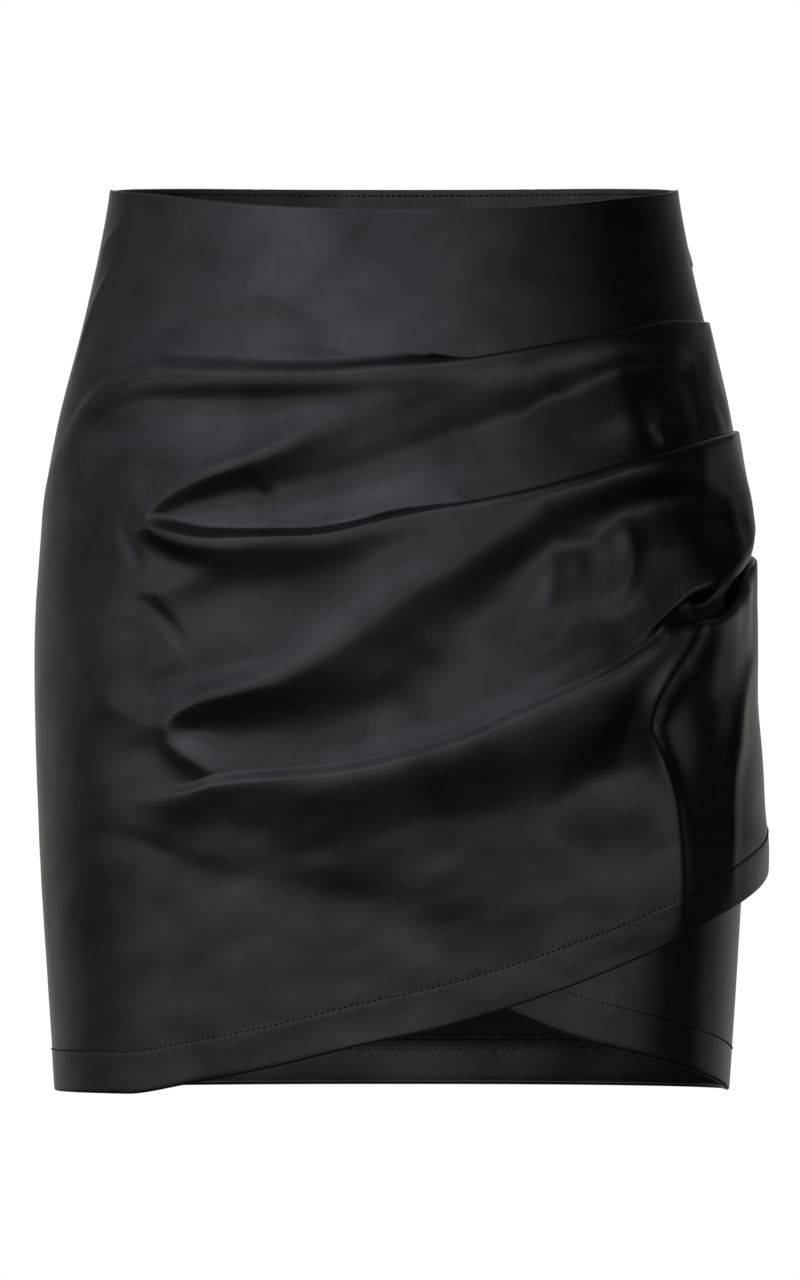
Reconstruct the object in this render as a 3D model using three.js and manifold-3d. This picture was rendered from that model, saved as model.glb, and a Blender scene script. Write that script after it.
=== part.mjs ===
// Faux leather mini skirt with a draped wrap front, worn shape, no wearer.
// Millimetres, +Z up. The origin is at the middle of the waist, and the front faces -Y.
// "across" is a distance round the skirt, counted at hip girth from centre front, positive towards
// the side with the zip (+X). It is about 0.65 mm to the unit at the sides. "down" is the distance
// below the waist.
import * as THREE from "three";
import { mergeVertices } from "three/addons/utils/BufferGeometryUtils.js";
import Module from "manifold-3d";

// Driving dimensions
const LENGTH = 410;
const HIP_GIRTH = 912;
const CLOTH = 1.2;
const FACING_CLOTH = 0.9;
const TAPE_CLOTH = 0.8;
const LAYER_GAP = 0.3;
const INSIDE_GAP = 0.6;
const SEAM_ACROSS = 248;
const SEAM_HALF_GAP = 0.25;
const HEM_ALLOWANCE = 20;
const PLEAT_LAYERS = 2.4;
const PLEAT_DEPTH = 22;
const FACING_DEPTH = 46;
const ZIP_TOP = 8;
const ZIP_LENGTH = 170;
const ZIP_TAPE_WIDTH = 34;
const SLIDER_DOWN = 15.5;
// The slit opens round the slider, each edge by this much across, closing over this height.
const SLIT_GAPE = 3.2;
const SLIT_REACH = 12;

// Rings of the body form under the cloth. squareness is the exponent of the ring's superellipse.
const bodySections = [
  { down: -5, half_width: 127.6, front_depth: 87.5, back_depth: 87, squareness: 2.1 },
  { down: 0, half_width: 128.0, front_depth: 88, back_depth: 88, squareness: 2.1 },
  { down: 25, half_width: 132.2, front_depth: 92, back_depth: 93, squareness: 2.12 },
  { down: 60, half_width: 139.8, front_depth: 98, back_depth: 104, squareness: 2.16 },
  { down: 110, half_width: 152.4, front_depth: 104, back_depth: 116, squareness: 2.22 },
  { down: 150, half_width: 158.8, front_depth: 107, back_depth: 122, squareness: 2.26 },
  { down: 215, half_width: 162.4, front_depth: 108, back_depth: 124, squareness: 2.3 },
  { down: 290, half_width: 160.4, front_depth: 105, back_depth: 119, squareness: 2.3 },
  { down: 350, half_width: 157.0, front_depth: 102, back_depth: 113, squareness: 2.28 },
  { down: 410, half_width: 153.0, front_depth: 99, back_depth: 108, squareness: 2.25 },
];

// Lines that run across the front, from the plain side seam to the zip seam.
const waistLine = [
  { across: -228, down: 0 },
  { across: -138, down: 3.5 },
  { across: -96, down: 7 },
  { across: -48, down: 10 },
  { across: 3, down: 11 },
  { across: 55, down: 10.4 },
  { across: 89, down: 8.6 },
  { across: 131, down: 5.2 },
  { across: 228, down: 0 },
];
const overHemLine = [
  { across: -248, down: 410 },
  { across: -125, down: 410 },
  { across: -89, down: 405 },
  { across: -54, down: 398 },
  { across: -16, down: 388 },
  { across: 24, down: 378 },
  { across: 67, down: 363 },
  { across: 113, down: 344 },
  { across: 148, down: 329 },
  { across: 201, down: 314 },
  { across: 248, down: 305 },
];
const underHemLine = [
  { across: -248, down: 282 },
  { across: -120, down: 304 },
  { across: -20, down: 345 },
  { across: 45, down: 371 },
  { across: 80, down: 385 },
  { across: 120, down: 394 },
  { across: 161, down: 402 },
  { across: 228, down: 410 },
  { across: 248, down: 410 },
];

// Pleats sewn into the zip seam. line is the fold edge, which turns up over the cloth above it.
// rise is how far the fold stands out, soft is the height over which it rises, fall is the
// height over which it sinks back, and layers is the share of the seam's three layers there.
const pleats = [
  {
    name: "upper pleat",
    line: [
      { across: -248, down: 160, rise: 0, soft: 8, fall: 20, layers: 0 },
      { across: -191, down: 118, rise: 1.0, soft: 8, fall: 20, layers: 0 },
      { across: -152, down: 97, rise: 3.0, soft: 8, fall: 22, layers: 0 },
      { across: -112, down: 86, rise: 4.6, soft: 7, fall: 24, layers: 0 },
      { across: -47, down: 87, rise: 5.2, soft: 5, fall: 26, layers: 0 },
      { across: 3, down: 84, rise: 5.0, soft: 2.5, fall: 27, layers: 0 },
      { across: 49, down: 76, rise: 4.2, soft: 1.5, fall: 28, layers: 0.2 },
      { across: 103, down: 67, rise: 3.4, soft: 1, fall: 30, layers: 0.6 },
      { across: 152, down: 61, rise: 2.6, soft: 1, fall: 32, layers: 1 },
      { across: 248, down: 61, rise: 2.2, soft: 1, fall: 40, layers: 1 },
    ],
  },
  {
    name: "middle pleat",
    line: [
      { across: -248, down: 172, rise: 0, soft: 9, fall: 18, layers: 0 },
      { across: -135, down: 160, rise: 0, soft: 9, fall: 18, layers: 0 },
      { across: -100, down: 154, rise: 3.4, soft: 8, fall: 18, layers: 0 },
      { across: -74, down: 159, rise: 5.6, soft: 7, fall: 20, layers: 0 },
      { across: -36, down: 159, rise: 6.2, soft: 6, fall: 22, layers: 0 },
      { across: 2, down: 150, rise: 6.0, soft: 3, fall: 24, layers: 0 },
      { across: 56, down: 137, rise: 4.8, soft: 1.5, fall: 24, layers: 0.3 },
      { across: 105, down: 124, rise: 3.8, soft: 1, fall: 22, layers: 0.7 },
      { across: 161, down: 114, rise: 2.8, soft: 1, fall: 24, layers: 1 },
      { across: 248, down: 110, rise: 2.2, soft: 1, fall: 40, layers: 1 },
    ],
  },
  {
    name: "lower pleat",
    line: [
      { across: -248, down: 284, rise: 0, soft: 10, fall: 20, layers: 0 },
      { across: -133, down: 279, rise: 1.5, soft: 9, fall: 20, layers: 0 },
      { across: -74, down: 269, rise: 5.4, soft: 8, fall: 28, layers: 0 },
      { across: -26, down: 266, rise: 6.6, soft: 8, fall: 32, layers: 0 },
      { across: 23, down: 253, rise: 7.0, soft: 8, fall: 32, layers: 0 },
      { across: 65, down: 235, rise: 7.4, soft: 7, fall: 26, layers: 0 },
      { across: 104, down: 211, rise: 7.6, soft: 5, fall: 22, layers: 0 },
      { across: 133, down: 198, rise: 6.4, soft: 2, fall: 22, layers: 0.4 },
      { across: 159, down: 190, rise: 4.6, soft: 1, fall: 24, layers: 0.8 },
      { across: 184, down: 179, rise: 3.0, soft: 1, fall: 28, layers: 1 },
      { across: 248, down: 166, rise: 2.0, soft: 1, fall: 40, layers: 1 },
    ],
  },
];

// The rolled underside of the cloth between the middle and lower pleats, which hangs over a hollow.
const rollLine = [
  { across: -248, down: 232, drop: 0, reach: 20 },
  { across: -131, down: 236, drop: 0, reach: 20 },
  { across: -60, down: 252, drop: 0, reach: 20 },
  { across: 2, down: 245, drop: 0, reach: 20 },
  { across: 44, down: 231, drop: 0, reach: 24 },
  { across: 87, down: 210, drop: 0.6, reach: 28 },
  { across: 112, down: 200, drop: 2.4, reach: 30 },
  { across: 142, down: 183, drop: 6.6, reach: 26 },
  { across: 162, down: 178, drop: 7.2, reach: 26 },
  { across: 184, down: 168, drop: 5.6, reach: 26 },
  { across: 212, down: 155, drop: 2.0, reach: 24 },
  { across: 248, down: 140, drop: 0, reach: 20 },
];

// Soft folds of the draped front. Each runs through its points, stands out by height (sinks where
// it is negative) and fades over reach_up above its line and reach_down below it.
const softFolds = [
  {
    name: "upper drape crest",
    reach_up: 20,
    reach_down: 8,
    path: [
      { across: -108, down: 150, height: 1.5 },
      { across: -96, down: 138, height: 3.6 },
      { across: -59, down: 123, height: 4.6 },
      { across: -16, down: 104, height: 4.2 },
      { across: 25, down: 90, height: 0 },
    ],
  },
  {
    name: "upper drape hollow",
    reach_up: 10,
    reach_down: 9,
    path: [
      { across: -97, down: 147, height: -0.8 },
      { across: -60, down: 142, height: -2.6 },
      { across: -18, down: 134, height: -3.2 },
      { across: 24, down: 122, height: -2.4 },
      { across: 73, down: 108, height: 0 },
    ],
  },
  {
    name: "lower drape crest",
    reach_up: 20,
    reach_down: 9,
    path: [
      { across: -93, down: 244, height: 1.8 },
      { across: -86, down: 236, height: 4.0 },
      { across: -56, down: 227, height: 5.0 },
      { across: -20, down: 203, height: 5.4 },
      { across: 7, down: 173, height: 3.6 },
      { across: 44, down: 152, height: 0 },
    ],
  },
  {
    name: "lower drape hollow",
    reach_up: 12,
    reach_down: 10,
    path: [
      { across: -84, down: 249, height: -0.8 },
      { across: -38, down: 248, height: -2.8 },
      { across: 2, down: 232, height: -3.4 },
      { across: 43, down: 211, height: -3.0 },
      { across: 87, down: 197, height: -1.5 },
      { across: 112, down: 190, height: 0 },
    ],
  },
  {
    name: "branch of the upper drape",
    reach_up: 12,
    reach_down: 8,
    path: [
      { across: -55, down: 163, height: 0 },
      { across: -79, down: 176, height: 2.2 },
      { across: -112, down: 186, height: 1.8 },
      { across: -140, down: 189, height: 0 },
    ],
  },
  {
    name: "branch of the lower drape",
    reach_up: 14,
    reach_down: 7,
    path: [
      { across: -140, down: 208, height: 0 },
      { across: -124, down: 227, height: 2.4 },
      { across: -104, down: 238, height: 2.6 },
      { across: -72, down: 266, height: 0 },
    ],
  },
  {
    name: "long low trough",
    reach_up: 12,
    reach_down: 14,
    path: [
      { across: -140, down: 294, height: 0 },
      { across: -108, down: 298, height: -1.6 },
      { across: -68, down: 322, height: -2.2 },
      { across: -15, down: 336, height: -2.2 },
      { across: 44, down: 322, height: 0 },
    ],
  },
  {
    name: "hollow below the roll",
    reach_up: 18,
    reach_down: 20,
    path: [
      { across: 62, down: 262, height: 0 },
      { across: 88, down: 252, height: -3.0 },
      { across: 112, down: 240, height: -2.4 },
      { across: 128, down: 226, height: 0 },
    ],
  },
  {
    name: "side ridge below the roll",
    reach_up: 7,
    reach_down: 9,
    path: [
      { across: 150, down: 196, height: 0 },
      { across: 124, down: 218, height: 2.4 },
      { across: 112, down: 250, height: 2.8 },
      { across: 116, down: 280, height: 1.6 },
      { across: 122, down: 312, height: 0 },
    ],
  },
];

// How far the draped front stands off the under front: fullness of the gathered cloth.
const fullness = {
  across: [
    { at: -248, share: 0 },
    { at: -190, share: 0 },
    { at: -110, share: 0.8 },
    { at: 0, share: 1 },
    { at: 120, share: 0.9 },
    { at: 200, share: 0.3 },
    { at: 248, share: 0 },
  ],
  down: [
    { at: 60, stand: 0 },
    { at: 110, stand: 2.5 },
    { at: 180, stand: 4.2 },
    { at: 250, stand: 4.0 },
    { at: 320, stand: 2.6 },
    { at: 410, stand: 0.6 },
  ],
};

// The lower corner by the zip seam stands out from the side before it turns in to the seam.
const flare = {
  across: [
    { at: 20, share: 0 },
    { at: 120, share: 0.45 },
    { at: 200, share: 0.9 },
    { at: 228, share: 1 },
    { at: 238, share: 0.75 },
    { at: 248, share: 0 },
  ],
  down: [
    { at: 190, stand: 0 },
    { at: 230, stand: 1.4 },
    { at: 265, stand: 5.0 },
    { at: 310, stand: 8.4 },
    { at: 360, stand: 9.0 },
  ],
};

// Value of a column at one place, on a smooth curve through a table's rows that never overshoots.
function along(rows, key, column, at) {
  const last = rows.length - 1;
  if (at <= rows[0][key]) return rows[0][column];
  if (at >= rows[last][key]) return rows[last][column];
  let i = 0;
  while (at > rows[i + 1][key]) i++;
  const slope = (k) => (rows[k + 1][column] - rows[k][column]) / (rows[k + 1][key] - rows[k][key]);
  const tangent = (k) => {
    if (k === 0) return slope(0);
    if (k === last) return slope(last - 1);
    const before = slope(k - 1);
    const after = slope(k);
    return before * after <= 0 ? 0 : (2 * before * after) / (before + after);
  };
  const span = rows[i + 1][key] - rows[i][key];
  const t = (at - rows[i][key]) / span;
  const u = 1 - t;
  return (
    rows[i][column] * (1 + 2 * t) * u * u +
    rows[i + 1][column] * (3 - 2 * t) * t * t +
    span * t * u * (tangent(i) * u - tangent(i + 1) * t)
  );
}

const smoothStep = (t) => {
  const c = Math.min(1, Math.max(0, t));
  return c * c * (3 - 2 * c);
};

// Fades from 1 on a fold's line to 0 at about one and a half reaches from it.
const fade = (t) => Math.exp(-Math.pow(Math.abs(t), 1.7));

// Point of the body form at a place, moved outwards by an offset.
function bodyPoint(across, down, offset) {
  const ring = (column, at = down) => along(bodySections, "down", column, at);
  const angle = Math.PI / 2 - (across * 2 * Math.PI) / HIP_GIRTH;
  const front = Math.sin(angle) >= 0;
  const depthColumn = front ? "front_depth" : "back_depth";
  const power = ring("squareness");
  const c = Math.cos(angle);
  const s = Math.sin(angle);
  const spread = Math.pow(Math.abs(c) ** power + Math.abs(s) ** power, 1 / power);
  const u = c / spread;
  const w = -s / spread;
  const width = ring("half_width");
  const depth = ring(depthColumn);
  const step = 2;
  const widthSlope = (ring("half_width", down + step) - ring("half_width", down - step)) / (2 * step);
  const depthSlope = (ring(depthColumn, down + step) - ring(depthColumn, down - step)) / (2 * step);
  const normal = new THREE.Vector3(
    (Math.sign(u) * Math.abs(u) ** (power - 1)) / width,
    (Math.sign(w) * Math.abs(w) ** (power - 1)) / depth,
    (Math.abs(u) ** power * widthSlope) / width + (Math.abs(w) ** power * depthSlope) / depth,
  ).normalize();
  return new THREE.Vector3(u * width, w * depth, -down).addScaledVector(normal, offset);
}

// Signed distance from a fold's path, positive below it, and the fold's height at the nearest point.
const PATH_STEPS = 20;
function sampledPath(fold) {
  const rows = fold.path.map((row, i) => ({ ...row, i }));
  return Array.from({ length: PATH_STEPS + 1 }, (_, k) => {
    const i = (k / PATH_STEPS) * (rows.length - 1);
    return {
      across: along(rows, "i", "across", i),
      down: along(rows, "i", "down", i),
      height: along(rows, "i", "height", i),
    };
  });
}
for (const fold of softFolds) fold.samples = sampledPath(fold);

function softFoldHeight(fold, across, down) {
  let best = { distance: Infinity };
  for (let k = 0; k < PATH_STEPS; k++) {
    const a = fold.samples[k];
    const b = fold.samples[k + 1];
    const du = b.across - a.across;
    const dv = b.down - a.down;
    const t = ((across - a.across) * du + (down - a.down) * dv) / (du * du + dv * dv);
    const c = Math.min(1, Math.max(0, t));
    const eu = across - a.across - c * du;
    const ev = down - a.down - c * dv;
    const distance = Math.hypot(eu, ev);
    if (distance < best.distance) {
      const below = du * ev - dv * eu > 0 ? 1 : -1;
      const height = a.height + c * (b.height - a.height);
      best = { distance, below: below * Math.sign(du || 1), height };
    }
  }
  const reach = best.below > 0 ? fold.reach_down : fold.reach_up;
  return best.height * fade(best.distance / reach);
}

// How far a pleat lifts the cloth at a place.
function pleatRise(pleat, across, down) {
  const value = (column) => along(pleat.line, "across", column, across);
  const below = down - value("down");
  if (below < 0) return value("rise") * smoothStep(1 + below / value("soft"));
  return value("rise") * fade(below / value("fall"));
}

// The pleat's folded layers behind the outer one, which thicken the wall next to the seam.
function pleatLayers(pleat, across, down) {
  const value = (column) => along(pleat.line, "across", column, across);
  const below = down - value("down");
  if (below < 0) return pleatRise(pleat, across, down) * value("layers");
  return Math.min(PLEAT_LAYERS, value("rise")) * value("layers") * fade(below / PLEAT_DEPTH);
}

function rollDrop(across, down) {
  const value = (column) => along(rollLine, "across", column, across);
  const above = value("down") - down;
  if (above < 0) return 0;
  return value("drop") * fade(above / value("reach"));
}

// Distance from the body form to the inside of the draped front's outer layer.
const CONTACT_EASE = 0.5;
function drapeHeight(across, down) {
  let height = along(fullness.across, "at", "share", across) * along(fullness.down, "at", "stand", down);
  height += along(flare.across, "at", "share", across) * along(flare.down, "at", "stand", down);
  for (const pleat of pleats) height += pleatRise(pleat, across, down);
  for (const fold of softFolds) height += softFoldHeight(fold, across, down);
  height += rollDrop(across, down);
  // Where the sum is below 0 the cloth lies on the layer beneath it, and CONTACT_EASE rounds that.
  return 0.5 * (height + Math.hypot(height, CONTACT_EASE));
}

// Closed wall from an outer grid and an inner grid of points, both [row][column].
function wallGeometry(outer, inner) {
  const rows = outer.length;
  const columns = outer[0].length;
  const positions = [...outer, ...inner].flat().flatMap((p) => [p.x, p.y, p.z]);
  const out = (r, c) => r * columns + c;
  const back = (r, c) => (rows + r) * columns + c;
  const index = [];
  const quad = (a, b, c, d) => index.push(a, b, c, a, c, d);
  for (let r = 0; r + 1 < rows; r++) {
    for (let c = 0; c + 1 < columns; c++) {
      quad(out(r, c), out(r + 1, c), out(r + 1, c + 1), out(r, c + 1));
      quad(back(r, c), back(r, c + 1), back(r + 1, c + 1), back(r + 1, c));
    }
    quad(out(r, 0), back(r, 0), back(r + 1, 0), out(r + 1, 0));
    quad(out(r, columns - 1), out(r + 1, columns - 1), back(r + 1, columns - 1), back(r, columns - 1));
  }
  for (let c = 0; c + 1 < columns; c++) {
    quad(out(0, c), out(0, c + 1), back(0, c + 1), back(0, c));
    quad(out(rows - 1, c), back(rows - 1, c), back(rows - 1, c + 1), out(rows - 1, c + 1));
  }
  const geometry = new THREE.BufferGeometry();
  geometry.setAttribute("position", new THREE.Float32BufferAttribute(positions, 3));
  geometry.setIndex(index);
  geometry.computeVertexNormals();
  return geometry;
}

// Places from one side of a panel to the other.
function spaced(from, to, steps) {
  return Array.from({ length: steps + 1 }, (_, i) => from + ((to - from) * i) / steps);
}

// Leather: soft black with a low sheen. Metal: black lacquered slider.
const leather = () => new THREE.MeshStandardMaterial({ color: 0x16171a, roughness: 0.42, metalness: 0 });
const lining = () => new THREE.MeshStandardMaterial({ color: 0x101013, roughness: 0.85, metalness: 0 });
const lacquer = () => new THREE.MeshStandardMaterial({ color: 0x0b0b0c, roughness: 0.3, metalness: 0.6 });

const skirt = new THREE.Group();
function addPiece(name, geometry, material, parent = skirt) {
  const mesh = new THREE.Mesh(geometry, material);
  mesh.name = name;
  parent.add(mesh);
  return mesh;
}

// How far down a line is, as a function of across.
const lineAt = (line) => (across) => along(line, "across", "down", across);

// Across of a panel's column at a place: its side edges stay in the seam, and open at the slider.
function columnAcross(across, edge, down) {
  if (across !== edge) return across;
  const open = SLIT_GAPE * Math.max(0, 1 - Math.abs(down - SLIDER_DOWN) / SLIT_REACH);
  return edge < SEAM_ACROSS ? edge - open : edge + open;
}

// Rows next to the waist, where the slit opens and closes again.
const slitRows = [0, SLIDER_DOWN - SLIT_REACH, SLIDER_DOWN, SLIDER_DOWN + SLIT_REACH];

// Draped wrap front. Its rows follow the waist, the pleat edges, the roll and the hem, so that
// each fold edge is a row of points.
const ROLL_EDGE = 1.2;
const TURN_STEP = 0.8;
function overFront() {
  const columns = spaced(-SEAM_ACROSS + SEAM_HALF_GAP, SEAM_ACROSS - SEAM_HALF_GAP, 48);
  const slitEdge = columns[columns.length - 1];
  const band = (from, to, steps) => spaced(0, 1, steps).map((t) => ({ from, to, t }));
  const plan = [
    ...slitRows.slice(0, -1).map((offset) => ({ from: "waist", offset })),
    ...band("slit", "upper", 3),
    ...band("upper", "middle", 7).slice(1),
    ...band("middle", "roll", 9).slice(1),
    ...band("under the roll", "lower", 3),
    ...band("lower", "turn", 9).slice(1),
    ...band("hem band", "hem", 1),
  ];
  const [upper, middle, lower] = pleats;
  const pleatOf = { upper, middle, lower };
  const edges = (across) => ({
    waist: lineAt(waistLine)(across),
    slit: lineAt(waistLine)(across) + SLIDER_DOWN + SLIT_REACH,
    upper: lineAt(upper.line)(across),
    middle: lineAt(middle.line)(across),
    roll: lineAt(rollLine)(across),
    "under the roll": lineAt(rollLine)(across) + ROLL_EDGE,
    lower: lineAt(lower.line)(across),
    turn: lineAt(overHemLine)(across) - HEM_ALLOWANCE,
    "hem band": lineAt(overHemLine)(across) - HEM_ALLOWANCE + TURN_STEP,
    hem: lineAt(overHemLine)(across),
  });
  const outer = [];
  const inner = [];
  const addRow = (downAt, thick = () => 0, shift = () => 0) => {
    const row = (lift, move) =>
      columns.map((across) => {
        const down = downAt(across);
        return wallPoint(columnAcross(across, slitEdge, down), down, lift(across), move(across));
      });
    outer.push(row(() => CLOTH, () => 0));
    inner.push(row((across) => -thick(across), shift));
  };
  for (const { from, to, t, offset } of plan) {
    const downAt = (across) => {
      const e = edges(across);
      return offset === undefined ? e[from] + (e[to] - e[from]) * t : e[from] + offset;
    };
    // A pleat edge is two rows: the foot of its rise, then its crest.
    if (t === 1 && pleatOf[to]) {
      addRow((across) => downAt(across) - along(pleatOf[to].line, "across", "soft", across));
    }
    const rollEdge = to === "roll" && t === 1;
    const ledge = from === "under the roll" && t === 0;
    const hemBand = from === "hem band";
    // The roll's underside is a ledge one layer thick.
    const ledgeDepth = (across) => (rollEdge || ledge ? -CLOTH * ledgeShare(across) : 0);
    addRow(downAt, hemBand ? hemTurn : undefined, ledgeDepth);
  }
  return wallGeometry(outer, inner);
}

// 1 where the roll's underside is a ledge, 0 where the cloth runs on smoothly.
const LEDGE_DROP = 3;
const ledgeShare = (across) => smoothStep(along(rollLine, "across", "drop", across) / LEDGE_DROP);

// The over front's turned-up hem lies inwards. Over the under front it pushes its own outer layer
// outwards instead.
const overlapStart = { across: -40, down: 280, width: 60, height: 20 };
const HEM_LIFT = 0.9;
const overlap = (across) => smoothStep((across - overlapStart.across) / overlapStart.width);
const hemTurn = (across) => CLOTH * (1 - overlap(across));

// Point of the draped front, on its outer face for a positive lift, else on its inner face.
function wallPoint(across, down, lift, shift) {
  const lowShare = smoothStep((down - overlapStart.down) / overlapStart.height);
  const height = drapeHeight(across, down) + HEM_LIFT * overlap(across) * lowShare;
  if (lift > 0) return bodyPoint(across, down, height + lift);
  const layers = Math.max(...pleats.map((pleat) => pleatLayers(pleat, across, down)));
  return bodyPoint(across, down + shift, Math.max(0, height - layers) + lift);
}

// A plain panel between two lines, with its turned-up hem as a doubled wall. slitEdge is the
// across of the edge that opens at the zip slider, if it has one.
function plainPanel({ from, to, steps, top, hem, rows, face, cloth = CLOTH, turn = 0, slitEdge }) {
  const columns = spaced(from, to, steps);
  const outer = [];
  const inner = [];
  const addRow = (downAt, thick = cloth) => {
    const row = (depth) =>
      columns.map((across) => {
        const down = downAt(across);
        return bodyPoint(columnAcross(across, slitEdge, down), down, face(across) - depth);
      });
    outer.push(row(0));
    inner.push(row(thick));
  };
  const starts = slitEdge === undefined ? [0] : slitRows;
  const first = starts[starts.length - 1];
  for (const start of starts) addRow((across) => top(across) + start);
  for (const t of spaced(0, 1, rows).slice(1)) {
    addRow((across) => top(across) + first + (hem(across) - turn - top(across) - first) * t);
  }
  if (turn) {
    for (const rise of [turn - TURN_STEP, turn / 2, 0]) {
      addRow((across) => hem(across) - rise, 2 * cloth);
    }
  }
  return wallGeometry(outer, inner);
}

const backEdge = SEAM_ACROSS + SEAM_HALF_GAP;
const frontEdge = SEAM_ACROSS - SEAM_HALF_GAP;

const underFront = () =>
  plainPanel({
    from: -frontEdge,
    to: frontEdge,
    steps: 36,
    top: lineAt(waistLine),
    hem: lineAt(underHemLine),
    rows: 12,
    face: () => -LAYER_GAP,
    turn: HEM_ALLOWANCE,
    slitEdge: frontEdge,
  });

const backPanel = () =>
  plainPanel({
    from: backEdge,
    to: HIP_GIRTH - backEdge,
    steps: 40,
    top: () => 0,
    hem: () => LENGTH,
    rows: 13,
    face: () => CLOTH,
    turn: HEM_ALLOWANCE,
    slitEdge: backEdge,
  });

// Outer face of what lies inside the panels: one layer deeper at the front, where there are two.
// It steps over a short way on the back panel's side of each seam.
const insideStep = { start: 12, width: 10 };
function insideFace(across) {
  const pastSeam = Math.abs(across - HIP_GIRTH / 2) - (HIP_GIRTH / 2 - SEAM_ACROSS);
  const frontShare = smoothStep((pastSeam + insideStep.start) / insideStep.width);
  return -INSIDE_GAP - frontShare * (CLOTH + LAYER_GAP);
}

// The waist facing runs round the inside from one side of the zip to the other.
function waistFacing() {
  const reach = ZIP_TAPE_WIDTH / 2 + SEAM_HALF_GAP;
  const top = (across) => {
    const wrapped = across > HIP_GIRTH / 2 ? across - HIP_GIRTH : across;
    return Math.abs(wrapped) < SEAM_ACROSS ? lineAt(waistLine)(wrapped) : 0;
  };
  return plainPanel({
    from: SEAM_ACROSS + reach,
    to: HIP_GIRTH + SEAM_ACROSS - reach,
    steps: 60,
    top,
    hem: (across) => top(across) + FACING_DEPTH,
    rows: 2,
    face: insideFace,
    cloth: FACING_CLOTH,
  });
}

const zipTape = () =>
  plainPanel({
    from: SEAM_ACROSS - ZIP_TAPE_WIDTH / 2,
    to: SEAM_ACROSS + ZIP_TAPE_WIDTH / 2,
    steps: 6,
    top: () => ZIP_TOP,
    hem: () => ZIP_TOP + ZIP_LENGTH,
    rows: 8,
    face: () => insideFace(SEAM_ACROSS),
    cloth: TAPE_CLOTH,
  });

// A closed three.js geometry as a solid, and a solid as a geometry.
const wasm = await Module();
wasm.setup();
function toSolid(geometry) {
  const bare = geometry.clone();
  for (const name of ["normal", "uv"]) bare.deleteAttribute(name);
  const merged = mergeVertices(bare, 1e-4);
  const mesh = { numProp: 3, vertProperties: merged.attributes.position.array };
  return new wasm.Manifold(new wasm.Mesh({ ...mesh, triVerts: new Uint32Array(merged.index.array) }));
}
function toGeometry(solid) {
  const mesh = solid.getMesh();
  const geometry = new THREE.BufferGeometry();
  geometry.setAttribute("position", new THREE.Float32BufferAttribute(mesh.vertProperties, 3));
  geometry.setIndex(Array.from(mesh.triVerts));
  geometry.computeVertexNormals();
  return geometry;
}

// Zip slider and its pull tab, in frames with x outwards from the cloth, y along the hinge pin and
// z up the seam. The pin's middle is each frame's origin. plate_out and plate_in are where the
// slider's plate starts and ends below the pin.
const SLIDER = {
  length: 5,
  width: 2.5,
  plate_out: 1.35,
  plate_in: 3.0,
  leg: 0.5,
  leg_length: 1.8,
  leg_top: 0.75,
};
const PIN = { radius: 0.5, bore_radius: 0.58, sides: 24 };
const PULL = {
  length: 20.5,
  width: 4.6,
  thickness: 0.8,
  knuckle_radius: 0.95,
  neck: 1.2,
  neck_length: 8,
  taper: 5,
};
// How far the pin and the tab's tip are outside the cloth's face.
const PIN_OUT = 0.15;
const TIP_OUT = 1.1;

function alongPin(radius, length) {
  return toSolid(new THREE.CylinderGeometry(radius, radius, length, PIN.sides));
}

function boxOut(low, high, wide, long, sideways = 0) {
  const box = new THREE.BoxGeometry(high - low, wide, long);
  return toSolid(box.translate((low + high) / 2, sideways, 0));
}

function sliderGeometry() {
  const { length, width, plate_out, plate_in, leg, leg_length, leg_top } = SLIDER;
  const middle = (width - leg) / 2;
  const pieces = [
    boxOut(-plate_in, -plate_out, width, length),
    boxOut(-plate_in, leg_top, leg, leg_length, -middle),
    boxOut(-plate_in, leg_top, leg, leg_length, middle),
    alongPin(PIN.radius, width - leg),
  ];
  return toGeometry(pieces.reduce((whole, piece) => whole.add(piece)));
}

// The tab hangs from its knuckle as a narrow neck that widens to a round tip.
function pullGeometry() {
  const { length, thickness, width, knuckle_radius, neck, neck_length, taper } = PULL;
  const tip = width / 2 - length;
  const outline = new THREE.Shape();
  outline.moveTo(-neck / 2, 0);
  outline.lineTo(-neck / 2, -neck_length);
  outline.bezierCurveTo(-neck / 2, -neck_length - taper, -width / 2, tip + taper, -width / 2, tip);
  outline.absarc(0, tip, width / 2, Math.PI, 2 * Math.PI, false);
  outline.bezierCurveTo(width / 2, tip + taper, neck / 2, -neck_length - taper, neck / 2, -neck_length);
  outline.lineTo(neck / 2, 0);
  outline.closePath();
  const extrusion = { depth: thickness, bevelEnabled: false, curveSegments: 8 };
  const plate = new THREE.ExtrudeGeometry(outline, extrusion);
  // The outline is drawn in x and y and extruded in z. They become y, z and x.
  plate.translate(0, 0, -thickness / 2);
  plate.applyMatrix4(new THREE.Matrix4().set(0, 0, 1, 0, 1, 0, 0, 0, 0, 1, 0, 0, 0, 0, 0, 1));
  const body = toSolid(plate).add(alongPin(knuckle_radius, neck));
  return toGeometry(body.subtract(alongPin(PIN.bore_radius, 2 * neck)));
}

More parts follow.
